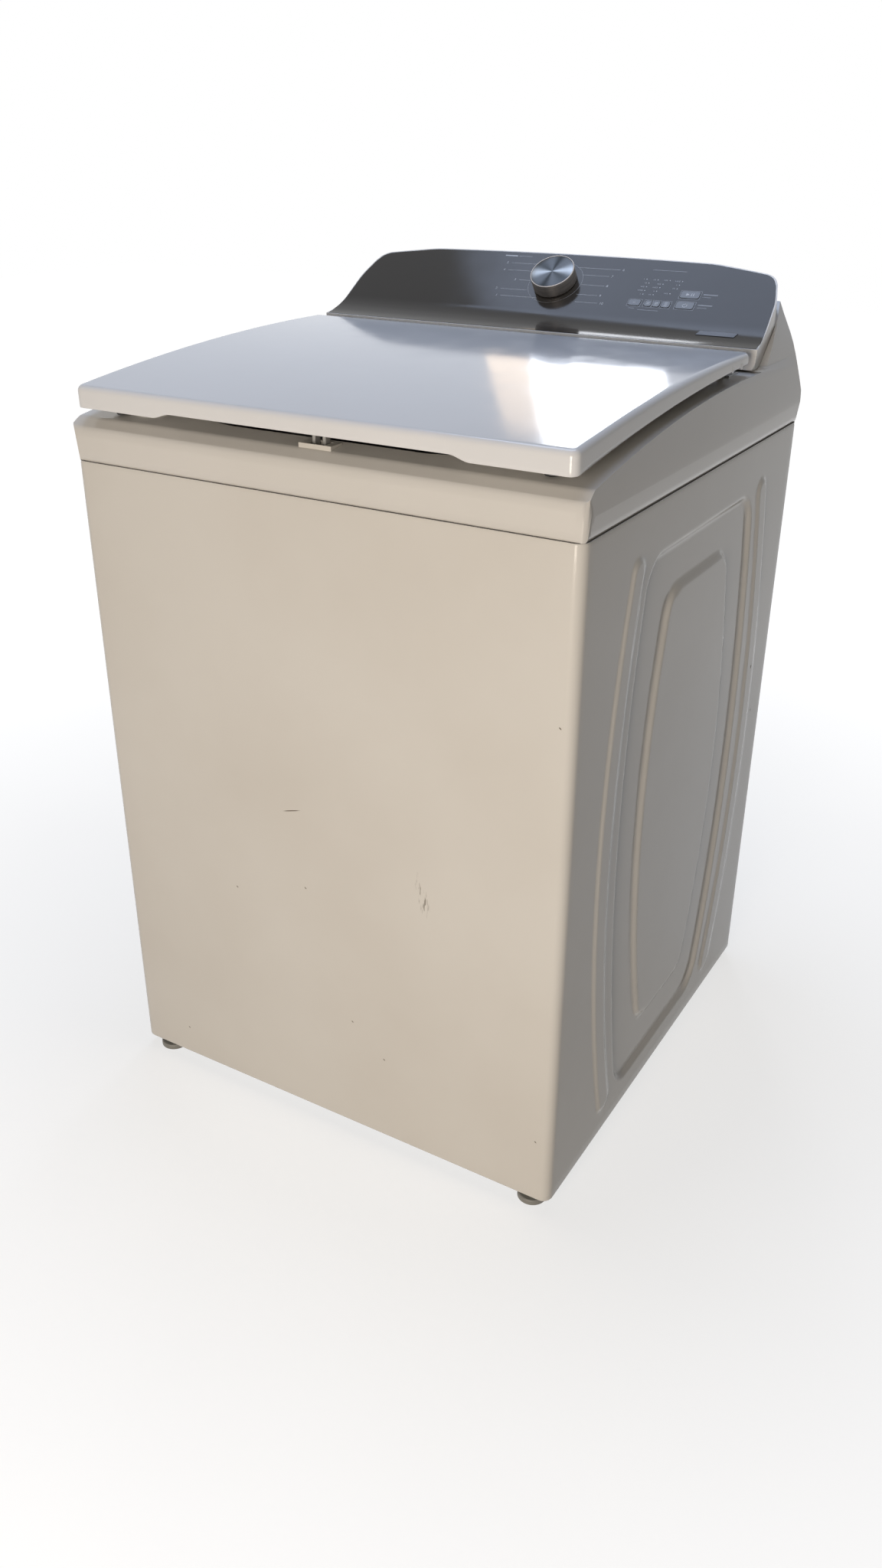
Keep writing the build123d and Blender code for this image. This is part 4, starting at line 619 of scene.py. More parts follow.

# %% [markdown]
# ## The cycle knob
#
# A knob like this is an aluminium disc in a drawn ring. The disc is faced on a lathe, which
# leaves hundreds of fine circles. Light runs along such circles as opposite bright fans, the look
# of a spun disc. In the shader that is anisotropy: the tangent must point round the disc, so the
# piece has a UV map of its own, with u round the disc and v along its radius. Soft studio light
# alone gives only a weak fan, so two dark fans and a light one are painted into the disc's colour by that
# same u, as painted reflections.

# %% Turned profiles about the knob's axis
# The console's face: its tilt, the knob's centre on it, and the directions up it, out of it and across.
FACE_TILT = math.radians(36.0)
FACE = np.array([0.0, 266.0, 1075.0])
FACE_UP = np.array([0.0, math.cos(FACE_TILT), math.sin(FACE_TILT)])
FACE_OUT = np.array([0.0, -math.sin(FACE_TILT), math.cos(FACE_TILT)])
FACE_X = np.array([1.0, 0.0, 0.0])


def circle(steps):
    """Angles of a full turn in even steps, without its end."""
    return np.linspace(0, 2 * np.pi, steps, endpoint=False)


def on_face(x, up, out):
    """Place a point by its position across the console's face, up it and out of it."""
    x, up, out = np.broadcast_arrays(np.asarray(x, float), up, out)
    return FACE + x[..., None] * FACE_X + up[..., None] * FACE_UP + out[..., None] * FACE_OUT


def turned(profile, steps):
    """Turn a (radius, height) profile about the knob's axis: (r cos t, r sin t, h) for each angle t."""
    radius, height = (column[:, None] for column in np.array(profile, float).T)
    t = circle(steps)
    return on_face(radius * np.cos(t), radius * np.sin(t), height + 0 * t)


def add_turned_uv(piece, rows, steps):
    """Give each face corner u = its share of the turn and v = its row, with no jump at the seam."""
    data = piece.data
    corners = np.zeros(len(data.loops), np.int64)
    data.loops.foreach_get("vertex_index", corners)
    corners = corners.reshape(-1, 4)
    turn = (corners % steps).astype(float)
    turn = np.where(turn < turn.max(1, keepdims=True) - steps / 2, turn + steps, turn) / steps
    row = (corners // steps) / (rows - 1)
    layer = data.uv_layers.new(name="turned")
    layer.data.foreach_set("uv", np.stack([turn, row], -1).ravel())


print("a point on the face:", on_face(0.0, 56.3, 0.0).round(1))

# %% Lathe-turned metal


def painted_fan(tree, turn, centre, sharp):
    """Two opposite painted reflection fans: (0.5 + 0.5 cos 2(t - centre)) ^ sharp, for u from 0 to 1 round
    the disc.
    """
    angle = add(tree, "Math", (turn, 4 * math.pi, -2 * math.radians(centre)), operation="MULTIPLY_ADD")
    wave = add(tree, "Math", (angle,), operation="COSINE")
    raised = add(tree, "MapRange", (wave, -1.0, 1.0, 0.0, 1.0))
    return add(tree, "Math", (raised, sharp), operation="POWER")


def spun_metal(name, colour, rough, grain, aniso, grooves_up, painted_fans=()):
    """Lathe-turned metal: grooves by v, a tangent along u, and painted reflection fans of (centre, sharpness,
    colour).

    A real groove is some hundredths of a millimetre wide. It is drawn as coarse as it needs to show.
    """
    material, tree, _ = blank_material(name)
    split = add(tree, "SeparateXYZ", (add(tree, "UVMap", uv_map="turned"),))
    lines = add(tree, "CombineXYZ", {
        "X": add(tree, "Math", (split.outputs[0], 3.0), operation="MULTIPLY"),
        "Y": add(tree, "Math", (split.outputs[1], grooves_up), operation="MULTIPLY"),
    })
    tone, grooves = mottled(tree, lines, 1 / MM, 4.0, (0.3, 0.7), colour, shaded(colour, grain))
    for centre, sharp, shade in painted_fans:
        tone = add(tree, "Mix", {0: painted_fan(tree, split.outputs[0], centre, sharp), 6: tone, 7: shade},
                   data_type="RGBA")
    tangent = add(tree, "Tangent", direction_type="UV_MAP", uv_map="turned")
    surface(tree, {"Base Color": tone, "Metallic": 1.0, "Roughness": rough, "Anisotropic": aniso,
                   "Tangent": tangent}, (grooves, 0.25, 0.01))
    return material


# Painted reflections on the disc: each fan's middle angle, its sharpness and the colour painted there.
PAINTED_FANS = [(160.0, 3.0, "#323537"), (190.0, 9.0, "#8C9093"), (86.0, 14.0, "#222425")]
disc_metal = spun_metal("lathe-faced aluminium with painted reflection fans", "#484A4C", 0.30, 0.82, 0.85, 29.0 / 0.4, PAINTED_FANS)
ring_metal = spun_metal("drawn and polished aluminium ring", "#BAB5B2", 0.48, 0.7, 0.3, 40.0 / 1.5)
print("fans on the disc:", len(PAINTED_FANS))

# %% Build the knob
STEPS = 144
DISC = [(30.4, 19.2), (30.2, 19.6), (29.7, 19.66), (22, 19.63), (15, 19.6), (8, 19.57), (3, 19.56),
        (0.05, 19.56)]
SIDE = [(28.0, 0.6), (31.0, 0.6), (31.45, 1.0), (31.6, 2.5), (31.7, 10), (31.7, 18.8), (31.6, 19.4),
        (31.3, 19.8), (31.0, 19.95), (30.7, 19.95), (30.5, 19.8), (30.45, 19.0), (30.45, 12.0)]
knob_disc = grid_piece("knob_disc", turned(DISC, STEPS), disc_metal, "knob")
knob_side = grid_piece("knob_side", turned(SIDE, STEPS), ring_metal, "knob", ["knob_ring"])
add_turned_uv(knob_disc, len(DISC), STEPS)
add_turned_uv(knob_side, len(SIDE), STEPS)
print("knob:", round(float(np.max(turned(SIDE, STEPS)[..., 2])), 1), "mm at its highest")

# %% [markdown]
# ## Keys, lamps and print on the film
#
# The keys are caps of the same dark film, which stand 0.6 mm proud in close-fitting holes. The
# print is a light grey ink on the film: numbers round the dial with leader lines, and beside the
# keys little stacks of bars that stand for low, middle and high. Ink is some hundredths of a
# millimetre thick, so each mark here is a flat shape that floats 0.04 mm over the film.

# %% Key caps
key_film = moulded("key cap film, a shade lighter", "#4A4C50", 0.16, 0.5, 0.002, 0.92)
# Each key: the place of its middle across the face and up it, then its width and its height.
KEYS = {
    "start_key": (205.0, -7.0, 27.0, 13.0),
    "power_key": (204.5, -27.0, 25.0, 13.0),
    "option_key_1": (132.0, -28.0, 17.0, 11.0),
    "option_key_2": (152.0, -28.0, 10.0, 11.0),
    "option_key_3": (164.0, -28.0, 10.0, 11.0),
    "option_key_4": (177.5, -28.0, 12.0, 11.0),
}
for key in KEYS:
    dressed(key + "_cap", key, 0.25, key_film)
print("key caps:", len(KEYS))

# %% Flat marks as arrays


def bar(x, up, width, height):
    """Corners of an upright bar about (x, up)."""
    a, b = width / 2, height / 2
    return [(x - a, up - b), (x + a, up - b), (x + a, up + b), (x - a, up + b)]


def dot(x, up, radius, steps=16):
    """Corners of a disc: (r cos t, r sin t)."""
    return list(zip(x + radius * np.cos(circle(steps)), up + radius * np.sin(circle(steps))))


def arc_marks(x, up, radius, width, start, end, steps):
    """Quads along an arc between two radii, r - w / 2 and r + w / 2."""
    t = np.radians(np.linspace(start, end, steps + 1))
    inner, outer = radius - width / 2, radius + width / 2
    around = [((outer, p), (outer, q), (inner, q), (inner, p)) for p, q in zip(t[:-1], t[1:])]
    return [[(x + r * math.cos(a), up + r * math.sin(a)) for r, a in quad] for quad in around]


def frame_marks(x, up, width, height, line):
    """Four bars that frame a key."""
    return [bar(x, up + side * height / 2, width, line) for side in (1, -1)] + [
        bar(x + side * width / 2, up, line, height) for side in (-1, 1)]


def number_mesh(text, x, up, size):
    """Outline faces of a number in Blender's own font, as (points, faces) on the console's face."""
    curve = bpy.data.curves.new("number", "FONT")
    curve.body, curve.size, curve.align_x, curve.align_y = text, size, "LEFT", "CENTER"
    curve.resolution_u = 3
    holder = linked("number", curve)
    bpy.context.view_layer.update()
    mesh = holder.to_mesh()
    points = np.zeros(len(mesh.vertices) * 3)
    mesh.vertices.foreach_get("co", points)
    faces = [list(polygon.vertices) for polygon in mesh.polygons]
    holder.to_mesh_clear()
    bpy.data.objects.remove(holder)
    return (points.reshape(-1, 3)[:, :2] + (x, up)).tolist(), faces


def print_piece(name, marks, height, material, body, numbers=()):
    """Put flat marks and numbers on the console's face, at a height over it."""
    points, faces = [], []
    for corners, polygons in [(mark, [range(len(mark))]) for mark in marks] + list(numbers):
        faces += [[len(points) + i for i in polygon] for polygon in polygons]
        points += corners
    across, up = np.array(points).T
    return make_piece(name, on_face(across, up, height), faces, material, body, smooth=False)


print("corners of a dot:", len(dot(0, 0, 1)))

# %% Print the dial and the option marks


def ink(name, colour):
    """Screen-printed ink: opaque, a little rougher than the film, with pinholes."""
    material, tree, where = blank_material(name)
    tone, _ = mottled(tree, where, 0.35, 1.0, (0.62, 0.7), colour, "#3A3C40", 0.5)
    surface(tree, {"Base Color": tone, "Roughness": 0.35})
    return material


light_ink = ink("screen-printed light ink", "#C9CDD1")
dim_ink = ink("screen-printed dim ink", "#94979C")
INK, KEY_INK, RULE, KEY_GAP, DIAL_R = 0.04, 0.64, 0.45, 2.6, 40.0
# A leader on the left runs from 4 mm beside x to its reach; one on the right from start to end.
rows_left = [(-81, 33.5, -30), (-80, 19.0, -36), (-54, 0.4, -41), (-76, -19.0, -38), (-70, -32.4, -16)]
rows_right = [(22, 88, 32.0), (36, 76, 18.0), (41, 76, -1.0), (41, 73, -20.0), (45, 79, -34.5)]
numbers = [number_mesh(str(5 - i), x - 12, up, 6.0) for i, (x, up, _) in enumerate(rows_left)]
numbers += [number_mesh(str(6 + i), end + 3, up, 6.0) for i, (_, end, up) in enumerate(rows_right)]
leaders = [bar((x - 4 + reach) / 2, up, abs(reach - x + 4), RULE) for x, up, reach in rows_left]
leaders += [bar((start + end) / 2, up, end - start, RULE) for start, end, up in rows_right]
leaders += [bar(-91, 48, 20, 2.2)]
faint = [bar(*place) for place in (
    (-68, 48, 22, 1.0), (160, 36, 50, 0.8), (233, -4.6, 20, 1.6), (229, -9.5, 12, 0.8), (232, -24.5, 20, 1.6),
    (229, -29.5, 14, 0.8), (131, -38.5, 9, 0.7), (156, -40.5, 30, 0.7))]
for x, up, width, height in KEYS.values():
    faint += frame_marks(x, up, width + KEY_GAP, height + KEY_GAP, 0.5)
faint += arc_marks(0, 0, DIAL_R, 0.5, 0, 360, 72)
print_piece("dial_print", leaders, INK, light_ink, "machine", numbers)
print_piece("faint_print", faint, INK, dim_ink, "machine")
print("printed marks:", len(leaders) + len(faint), "and", len(numbers), "numbers")

# %% Level bars, lamps and key symbols
# Each lamp: its place across the face and up it. Beside the lamps stand one to four bars, in turn.
LAMPS = [(133.0, 17.6), (138.7, 10.4), (137.9, 3.2), (138.0, -4.0), (138.0, -11.0), (149.5, 17.3),
         (159.5, 10.0), (157.5, 3.0), (155.5, -4.0), (153.0, -11.0), (167.0, 17.6), (185.0, 17.2),
         (183.2, 10.2), (182.4, 3.1), (176.0, -7.0)]
levels = [bar(x - 4.0 - 2.0 * step, up, 0.9, 1.6 + 0.5 * ((i % 4) - step))
          for i, (x, up) in enumerate(LAMPS) for step in range(1 + i % 4)]
print_piece("level_marks", levels, INK, dim_ink, "machine")
lamp_lens = ink("clear lamp window", "#D5DADF")
windows = [dot(x, up, 0.8) for x, up in LAMPS]
print_piece("lamp_windows", windows, 0.05, lamp_lens, "machine")
arrow = [(199.5, -9.5), (204.5, -7.0), (199.5, -4.5)]
symbols = {
    "start_key": [arrow, bar(207.0, -7.0, 1.0, 5.0), bar(210.0, -7.0, 1.0, 5.0)],
    "power_key": arc_marks(204.5, -27.4, 3.0, 0.7, 125, 415, 20) + [bar(204.5, -25.2, 0.7, 3.2)],
}
for count in range(1, 5):
    x, up = KEYS[f"option_key_{count}"][:2]
    lines = [bar(x, up + 2.2 * (row - (count - 1) / 2), 4.5, 0.8) for row in range(count)]
    symbols[f"option_key_{count}"] = lines
for key, marks in symbols.items():
    print_piece(key + "_symbol", marks, KEY_INK, light_ink, key)
print("lamps:", len(LAMPS))

# %% [markdown]
# ## The badge plate, kept bare
#
# Low on the fascia's right sits a thin plate with slanted ends. It is aluminium foil on a
# plastic backing, satin from rolling. Rolling leaves straight scratches in one direction, so its
# grain is noise that is squeezed across that direction.

# %% Metals with a straight grain


def grained_metal(name, colour, dark, rough, grain_mm, stretch):
    """Metal with a grain: noise grain_mm fine whose axes are stretched, in tone and in relief."""
    material, tree, where = blank_material(name)
    drawn = add(tree, "Mapping", {"Vector": where, "Scale": stretch})
    tone, grain = mottled(tree, drawn, grain_mm, 3.0, (0.3, 0.7), colour, dark)
    clouds = add(tree, "TexNoise", {"Vector": where, "Scale": 1 / (35.0 * MM), "Detail": 3.0})
    gloss = add(tree, "MapRange", (clouds, 0.35, 0.65, rough, rough + 0.08))
    surface(tree, {"Base Color": tone, "Metallic": 1.0, "Roughness": gloss}, (grain, 0.2, 0.02))
    return material


plate_metal = grained_metal("rolled satin aluminium foil", "#595B5F", "#4B4D51", 0.42, 0.5, (0.03, 1.0, 1.0))
badge = dressed("badge_foil", "badge_plate", 0.15, plate_metal)
print("badge plate:", len(badge.data.polygons), "faces")

# %% [markdown]
# ## Under the lid
#
# The lid's inside is a moulded white liner. Two steel ears on the deck carry it on pins, two
# rubber bumpers stop it on the deck, and a strike with two prongs goes into the lock in the
# deck's front. The lock's case is a light grey like the deck, so that in the gap under the lid it
# is the prongs that show. On the lid's side wall, two dimples mark where the hinge plate is
# clinched to it.

# %% Liner, hinge, bumpers and lock
liner_abs = moulded("moulded white ABS, satin", "#DEDEDC", 0.34, 0.8, 0.02)
lock_plastic = moulded("moulded light grey nylon", "#D5D1C9", 0.42, 0.7, 0.02)
strike_plastic = moulded("moulded light grey acetal", "#A9A9A6", 0.3, 0.7, 0.01)
rubber = moulded("moulded black rubber", "#1D1D1E", 0.5, 0.6, 0.03, 0.8)
ear_steel = grained_metal("zinc plated steel, bright", "#9FA1A3", "#8B8D90", 0.3, 1.2, (1.0, 1.0, 0.2))
shaft_steel = grained_metal("ground steel rod", "#A9A9A9", "#8F8F90", 0.2, 0.8, (0.05, 0.05, 1.0))
dressed("lid_liner_shell", "lid_liner", 0.7, liner_abs)
dressed("lid_ears", "lid_hinge_brackets", 0.5, ear_steel)
dressed("lid_pins", "lid_hinge_pins", 0.4, shaft_steel)
dressed("lid_stops", "lid_bumpers", 1.2, rubber)
dressed("lid_prongs", "lid_strike", 0.5, strike_plastic)
dressed("lock_case", "lid_lock_housing", 0.6, lock_plastic)
dressed("lock_pin", "lock_bolt", 0.5, shaft_steel)
print("pieces that ride on the lid:", BODY["lid_strike"])

# %% Clinched dimples on the lid's side wall


def dome(x, y, z, side, radius, height, rings=6, steps=24):
    """Cap that faces +x or -x: at a share s of its radius it stands height * (1 - s^2)^2 high."""
    s = np.linspace(1.0, 0.02, rings)[:, None]
    t = circle(steps)[None, :]
    out = side * height * (1 - s**2) ** 2 + 0 * t
    return np.stack([x + out, y - side * radius * s * np.cos(t), z - radius * s * np.sin(t)], -1)


DIMPLES = [(86.0, 1010.0), (117.5, 1009.8)]
dimples = np.array([dome(side * (LID_X - 0.05), y, z, side, 4.6, 0.9)
                    for side in (-1, 1) for y, z in DIMPLES])
grid_piece("lid_dimples", dimples, lid_enamel, "lid")
print("dimples:", len(dimples))

# %% [markdown]
# ## Zinc coated sheet
#
# Nobody sees the back, the base or the brackets in a shop, so they are plain galvanised sheet.
# The zinc freezes on the hot steel in flat crystals about a centimetre across, the spangle. Each
# crystal faces its own way and so has its own tone, which is exactly what a Voronoi texture's
# random colour per cell gives.

# %% Galvanised sheet


def galvanised(name, colour, dark, spangle_mm):
    """Zinc on steel: each Voronoi cell gets its own tone and roughness; a slow noise adds stains."""
    material, tree, where = blank_material(name)
    crystals = add(tree, "TexVoronoi", {"Vector": where, "Scale": 1 / (spangle_mm * MM)})
    split = add(tree, "SeparateColor", (crystals.outputs["Color"],))
    tone = add(tree, "Mix", {0: split.outputs[0], 6: colour, 7: dark}, data_type="RGBA")
    tone, _ = mottled(tree, where, 120.0, 4.0, (0.5, 0.75), tone, "#8E8D89", 0.5)
    rough = add(tree, "MapRange", (split.outputs[1], 0.0, 1.0, 0.34, 0.5))
    surface(tree, {"Base Color": tone, "Metallic": 0.85, "Roughness": rough}, (split.outputs[2], 0.15, 0.02))
    return material


zinc = galvanised("hot-dip galvanised sheet", "#B4B7B9", "#9A9EA2", 11.0)
SHEETS = {"back_sheet": "rear_panel", "base_rails": "base_frame", "corner_shelves": "suspension_brackets"}
for name, node in SHEETS.items():
    dressed(name, node, 0.8, zinc)
print("galvanised pieces:", len(SHEETS))

# %% Hex washer screws
HEX, WASHER = 5.6, 4.2


def hex_reach(t, across):
    """Distance from a hexagon's middle to its edge: half its width / cos(angle from a flat's middle)."""
    return across / 2 / np.cos((t + np.pi / 6) % (np.pi / 3) - np.pi / 6)


def screw_head(x, y, z, steps=36):
    """Rings of a hex washer head that faces +y: the washer, the hexagon's wall and its domed end."""
    t = circle(steps)
    hexagon = hex_reach(t, HEX)
    rings = [(4.15, 0.0), (WASHER, 0.3), (4.05, 0.7), (hexagon + 0.15, 0.75), (hexagon, 0.95),
             (hexagon, 1.75), (0.9 * hexagon, 2.0), (0.45 * hexagon, 2.0), (0.02 * hexagon, 1.85)]
    return np.array([np.stack([x + r * np.cos(t), y + h + 0 * t, z - r * np.sin(t)], -1) for r, h in rings])


screws_low, screws_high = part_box("rear_screws")
screw_x, screw_y = screws_high.x / MM - WASHER, box_high.y / MM
screw_z = np.linspace(screws_low.z / MM + WASHER, screws_high.z / MM - WASHER, 4)
heads = np.array([screw_head(side * screw_x, screw_y, z) for side in (-1, 1) for z in screw_z])
grid_piece("screw_heads", heads, ear_steel, "machine", ["rear_screws"], smooth=False)
print("screw heads:", len(heads))

# %% [markdown]
# ## Feet and the fittings at the back
#
# The feet are polypropylene pads on hexagons and screws. In the tray at the back sit the water
# valve with its two threaded ports, the drain outlet and the bush for the power cord. A hose
# thread is a ridge that winds round the port. It is worked out as a radius that depends on the
# place along the port and on the angle: r = r0 + h times a wave of (s / pitch - t / 2 pi).

# %% Feet, valve and pipes
foot_plastic = moulded("moulded grey polypropylene", "#8C8A84", 0.45, 0.8, 0.03)
valve_plastic = moulded("moulded white nylon", "#CFCFCA", 0.38, 0.7, 0.02)
pipe_plastic = moulded("moulded white polypropylene", "#D6D7D5", 0.36, 0.9, 0.02)
for foot in ("foot_front_left", "foot_front_right", "foot_rear_left", "foot_rear_right"):
    dressed(foot + "_pad", foot, 0.5, foot_plastic)
dressed("valve_block", "water_inlet_valve", 0.8, valve_plastic)
dressed("cord_bush", "cord_inlet_bush", 0.6, rubber)
dressed("bleach_cup", "bleach_dispenser", 0.6, pipe_plastic)
print("feet and fittings are dressed")

# %% Threaded ports


def thread(x, y, z, radius, length, pitch, ridge, steps=48):
    """Tube along +y whose radius is r0 + h times a wave of (s / pitch - t / 2 pi), faded at both ends."""
    s = np.linspace(0.0, length, int(length / pitch * 6) + 1)[:, None]
    t = circle(steps)[None, :]
    wave = 0.5 - 0.5 * np.cos(2 * np.pi * (s / pitch - t / (2 * np.pi)))
    faded = soft(s / pitch) * soft((length - s) / pitch)
    r = radius + ridge * faded * wave - 0.2 * (1 - faded)
    return np.stack([x + r * np.cos(t), y + s + 0 * t, z - r * np.sin(t)], -1)


valve_low, valve_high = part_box("water_inlet_valve")
port_y, port_z = valve_high.y / MM, (valve_low.z + valve_high.z) / 2 / MM
valve_x, port_gap, port_start = (valve_low.x + valve_high.x) / 2 / MM, 30.0, port_y - 20.5
PORT = {"radius": 13.1, "length": 20.0, "pitch": 2.2, "ridge": 0.9}
for side, name in ((-1, "port_thread_left"), (1, "port_thread_right")):
    ridge = thread(valve_x + side * port_gap, port_start, port_z, **PORT)
    grid_piece(name, ridge, valve_plastic, "machine")
print("thread:", ridge.shape)

# %% [markdown]
# ## The drain hose
#
# The hose from the pump up to the outlet is blow moulded with rings, so that it bends without
# kinks and follows the tub. A profile is carried along the route: at each place s along it, the
# radius is r + a cos(2 pi s / pitch). The route is made of straight runs with an arc at each
# corner, and it ends in the pump's nozzle and in the outlet, as the CAD hose does. Its low end
# goes with the tub and its high end stays with the cabinet; the mesh here rides on no body.

# %% Carry a ribbed profile along the hose's route


def rounded_route(corners, bends, step):
    """Places and directions along runs joined by arcs: each arc starts b tan(a / 2) before its corner."""
    corners = [np.array(c, float) for c in corners]
    norm = np.linalg.norm
    places, start = [], corners[0]
    for before, corner, after, bend in zip(corners, corners[1:], corners[2:], bends):
        a, b = (corner - before) / norm(corner - before), (after - corner) / norm(after - corner)
        cut = bend * math.tan(math.acos(float(np.clip(a @ b, -1, 1))) / 2)
        end, centre = corner - a * cut, corner - a * cut + b * bend
        turn = np.linspace(0, np.pi / 2, max(int(bend * np.pi / 2 / step), 4) + 1)[:, None]
        places.append(np.linspace(start, end, max(int(norm(end - start) / step), 1) + 1))
        places.append(centre - b * bend * np.cos(turn) + a * bend * np.sin(turn))
        start = corner + b * cut
    places.append(np.linspace(start, corners[-1], int(norm(corners[-1] - start) / step) + 1))
    places = np.concatenate(places)
    places = places[np.concatenate([[True], norm(np.diff(places, axis=0), axis=1) > 0.2 * step])]
    ahead = np.gradient(places, axis=0)
    return places, ahead / norm(ahead, axis=1, keepdims=True)


def ribbed_tube(places, ahead, radius, ribs, pitch, steps=28):
    """Tube round a route: radius + ribs cos(2 pi s / pitch), with s the length from the route's start."""
    s = np.concatenate([[0.0], np.cumsum(np.linalg.norm(np.diff(places, axis=0), axis=1))])[:, None]
    first = np.cross(ahead, (0.7071, -0.7071, 0.0))
    first /= np.linalg.norm(first, axis=1, keepdims=True)
    second = np.cross(ahead, first)
    plain, fade = 14.0, 6.0
    smooth_end = soft((s - plain) / fade) * soft((s.max() - plain - s) / fade)
    r = (radius + ribs * np.cos(2 * np.pi * s / pitch) * smooth_end)[..., None]
    t = circle(steps)[None, :, None]
    return places[:, None] + r * (np.cos(t) * first[:, None] + np.sin(t) * second[:, None])


hose_low, hose_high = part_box("drain_hose")
HOSE_R, HELD_END = 13.0, 0.05
hose_x, hose_back = hose_high.x / MM - HOSE_R, hose_high.y / MM - HOSE_R
pump_line, nozzle_z = hose_low.y / MM + HOSE_R, hose_low.z / MM + HOSE_R
route, ahead = rounded_route(
    [(hose_low.x / MM, pump_line, nozzle_z), (hose_x, pump_line, nozzle_z), (hose_x, hose_back, nozzle_z),
     (hose_x, hose_back, hose_high.z / MM)], (18.0, 55.0), 1.0)
hose_plastic = moulded("blow moulded grey polypropylene hose", "#4A4B4D", 0.4, 0.8, 0.02)
hose_skin = ribbed_tube(route, ahead, 12.2, 0.8, 5.0)
hose_piece = grid_piece("drain_hose_ribbed", hose_skin, hose_plastic, None,
                        ["drain_hose"])
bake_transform(hose_piece)
print("hose:", len(route), "rings")

# %% [markdown]
# ## The wash basket
#
# The basket is a strip of stainless steel that is perforated, rolled and welded, with flutes
# pressed outwards so that it stays round at full spin. A wall with 1,600 holes would be heavy to
# cut out of a cylinder. It is built from cells: eight points on each cell's edge, shared with its
# neighbours, and eight on the hole's edge, joined by eight quads. Solidify gives it its thickness.

# %% A perforated wall from cells
basket_low, basket_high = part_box("wash_basket")
BASKET_Y, BASKET_R = (basket_low.y + basket_high.y) / 2 / MM, basket_high.x / MM
BASKET_FOOT, BASKET_HEAD = basket_low.z / MM, basket_high.z / MM
CELLS, ROWS, HOLE = 72, 23, 2.7
FLUTES, FLUTE = 24, 1.6
HOLES_LOW, HOLES_HIGH = BASKET_FOOT + 30.0, BASKET_HEAD - 58.0


def wall_point(u, z):
    """Wrap (u, z) on the wall: the angle is u / r and the radius swells by 1.6 mm along 24 flutes."""
    t = u / BASKET_R
    wave = 0.5 + 0.5 * np.cos(FLUTES * t)
    r = BASKET_R + FLUTE * wave * soft((z - HOLES_LOW) / 25) * soft((HOLES_HIGH - z) / 25)
    return np.stack([r * np.cos(t), BASKET_Y + r * np.sin(t), z], -1)


def perforated_wall():
    """Lattice at half-cell steps without the cells' middles, octagons for holes, and a band at each end."""
    around = 2 * CELLS
    du, dz = 2 * np.pi * BASKET_R / CELLS, (HOLES_HIGH - HOLES_LOW) / ROWS
    ends_low = BASKET_FOOT + np.array([0.0, 8.0, 18.0])
    ends_high = np.array([HOLES_HIGH + 14.0, HOLES_HIGH + 32.0, BASKET_HEAD])
    levels_z = np.concatenate([ends_low, HOLES_LOW + dz / 2 * np.arange(2 * ROWS + 1), ends_high])
    lattice = np.stack(np.meshgrid(du / 2 * np.arange(around), levels_z), -1).reshape(-1, 2)
    i, j = (g.ravel() for g in np.meshgrid(np.arange(ROWS), np.arange(CELLS), indexing="ij"))
    round_cell = ((0, 0), (0, 1), (0, 2), (1, 2), (2, 2), (2, 1), (2, 0), (1, 0))
    outer = np.stack([(len(ends_low) + 2 * i + a) * around + (2 * j + b) % around for a, b in round_cell], 1)
    turn = np.radians(-135 + 45 * np.arange(8))
    middle = np.stack([du * (j + 0.5), HOLES_LOW + dz * (i + 0.5)], -1)
    hole = middle[:, None] + HOLE * np.stack([np.cos(turn), np.sin(turn)], -1)[None]
    inner = len(lattice) + np.arange(len(hole) * 8).reshape(-1, 8)
    cells = np.stack([outer, np.roll(outer, -1, 1), np.roll(inner, -1, 1), inner], -1).reshape(-1, 4)
    bands = grid_faces(len(levels_z), around, True)
    row = np.arange(len(bands)) // around
    plain = (row < len(ends_low)) | (row >= len(ends_low) + 2 * ROWS)
    flat = np.concatenate([lattice, hole.reshape(-1, 2)])
    used, faces = np.unique(np.concatenate([bands[plain], cells]), return_inverse=True)
    return wall_point(*flat[used].T), faces.reshape(-1, 4)


stainless = grained_metal("rolled stainless steel", "#C4C5C5", "#B2B3B4", 0.22, 1.0, (0.02, 0.02, 1.0))
wall_points, wall_faces = perforated_wall()
basket_wall = make_piece("basket_wall", wall_points, wall_faces, stainless, "basket",
                         ["wash_basket"])
thicken(basket_wall, 0.8)
print("basket wall:", len(wall_faces), "faces,", CELLS * ROWS, "holes")

# %% [markdown]
# ## Tub, rings and agitator
#
# The tub and what turns in it are injection moulded polypropylene. The tub is filled with glass
# and left grey, the parts that one sees from above are white. All have a satin face from the
# mould and generous edge radii, so the CAD solids with broken edges are right as they are.

# %% Plastics of the wash system
tub_plastic = moulded("glass filled polypropylene, grey", "#9DA2A6", 0.4, 1.2, 0.04)
balance_plastic = moulded("moulded polypropylene, light grey", "#B9BCBD", 0.34, 0.9, 0.02)
agitator_plastic = moulded("moulded polypropylene, white", "#D3D5D6", 0.3, 0.9, 0.02)
dressed("tub_shell", "outer_tub", 1.2, tub_plastic)
dressed("tub_cover", "tub_ring", 0.8, pipe_plastic)
dressed("balance_hoop", "balance_ring", 2.0, balance_plastic)
dressed("agitator_body", "agitator", 2.2, agitator_plastic)
dressed("softener_body", "softener_cup", 0.8, agitator_plastic)
print("wash system is dressed")

# %% [markdown]
# ## The drive under the tub
#
# Under the tub hang a die cast hub and bearing housing, a belt drive, the motor and the drain
# pump. A die casting has a fine skin with flow marks, a motor is black with thin laminations,
# and rods and springs are drawn wire. These are seen only from below.

# %% Castings and the motor


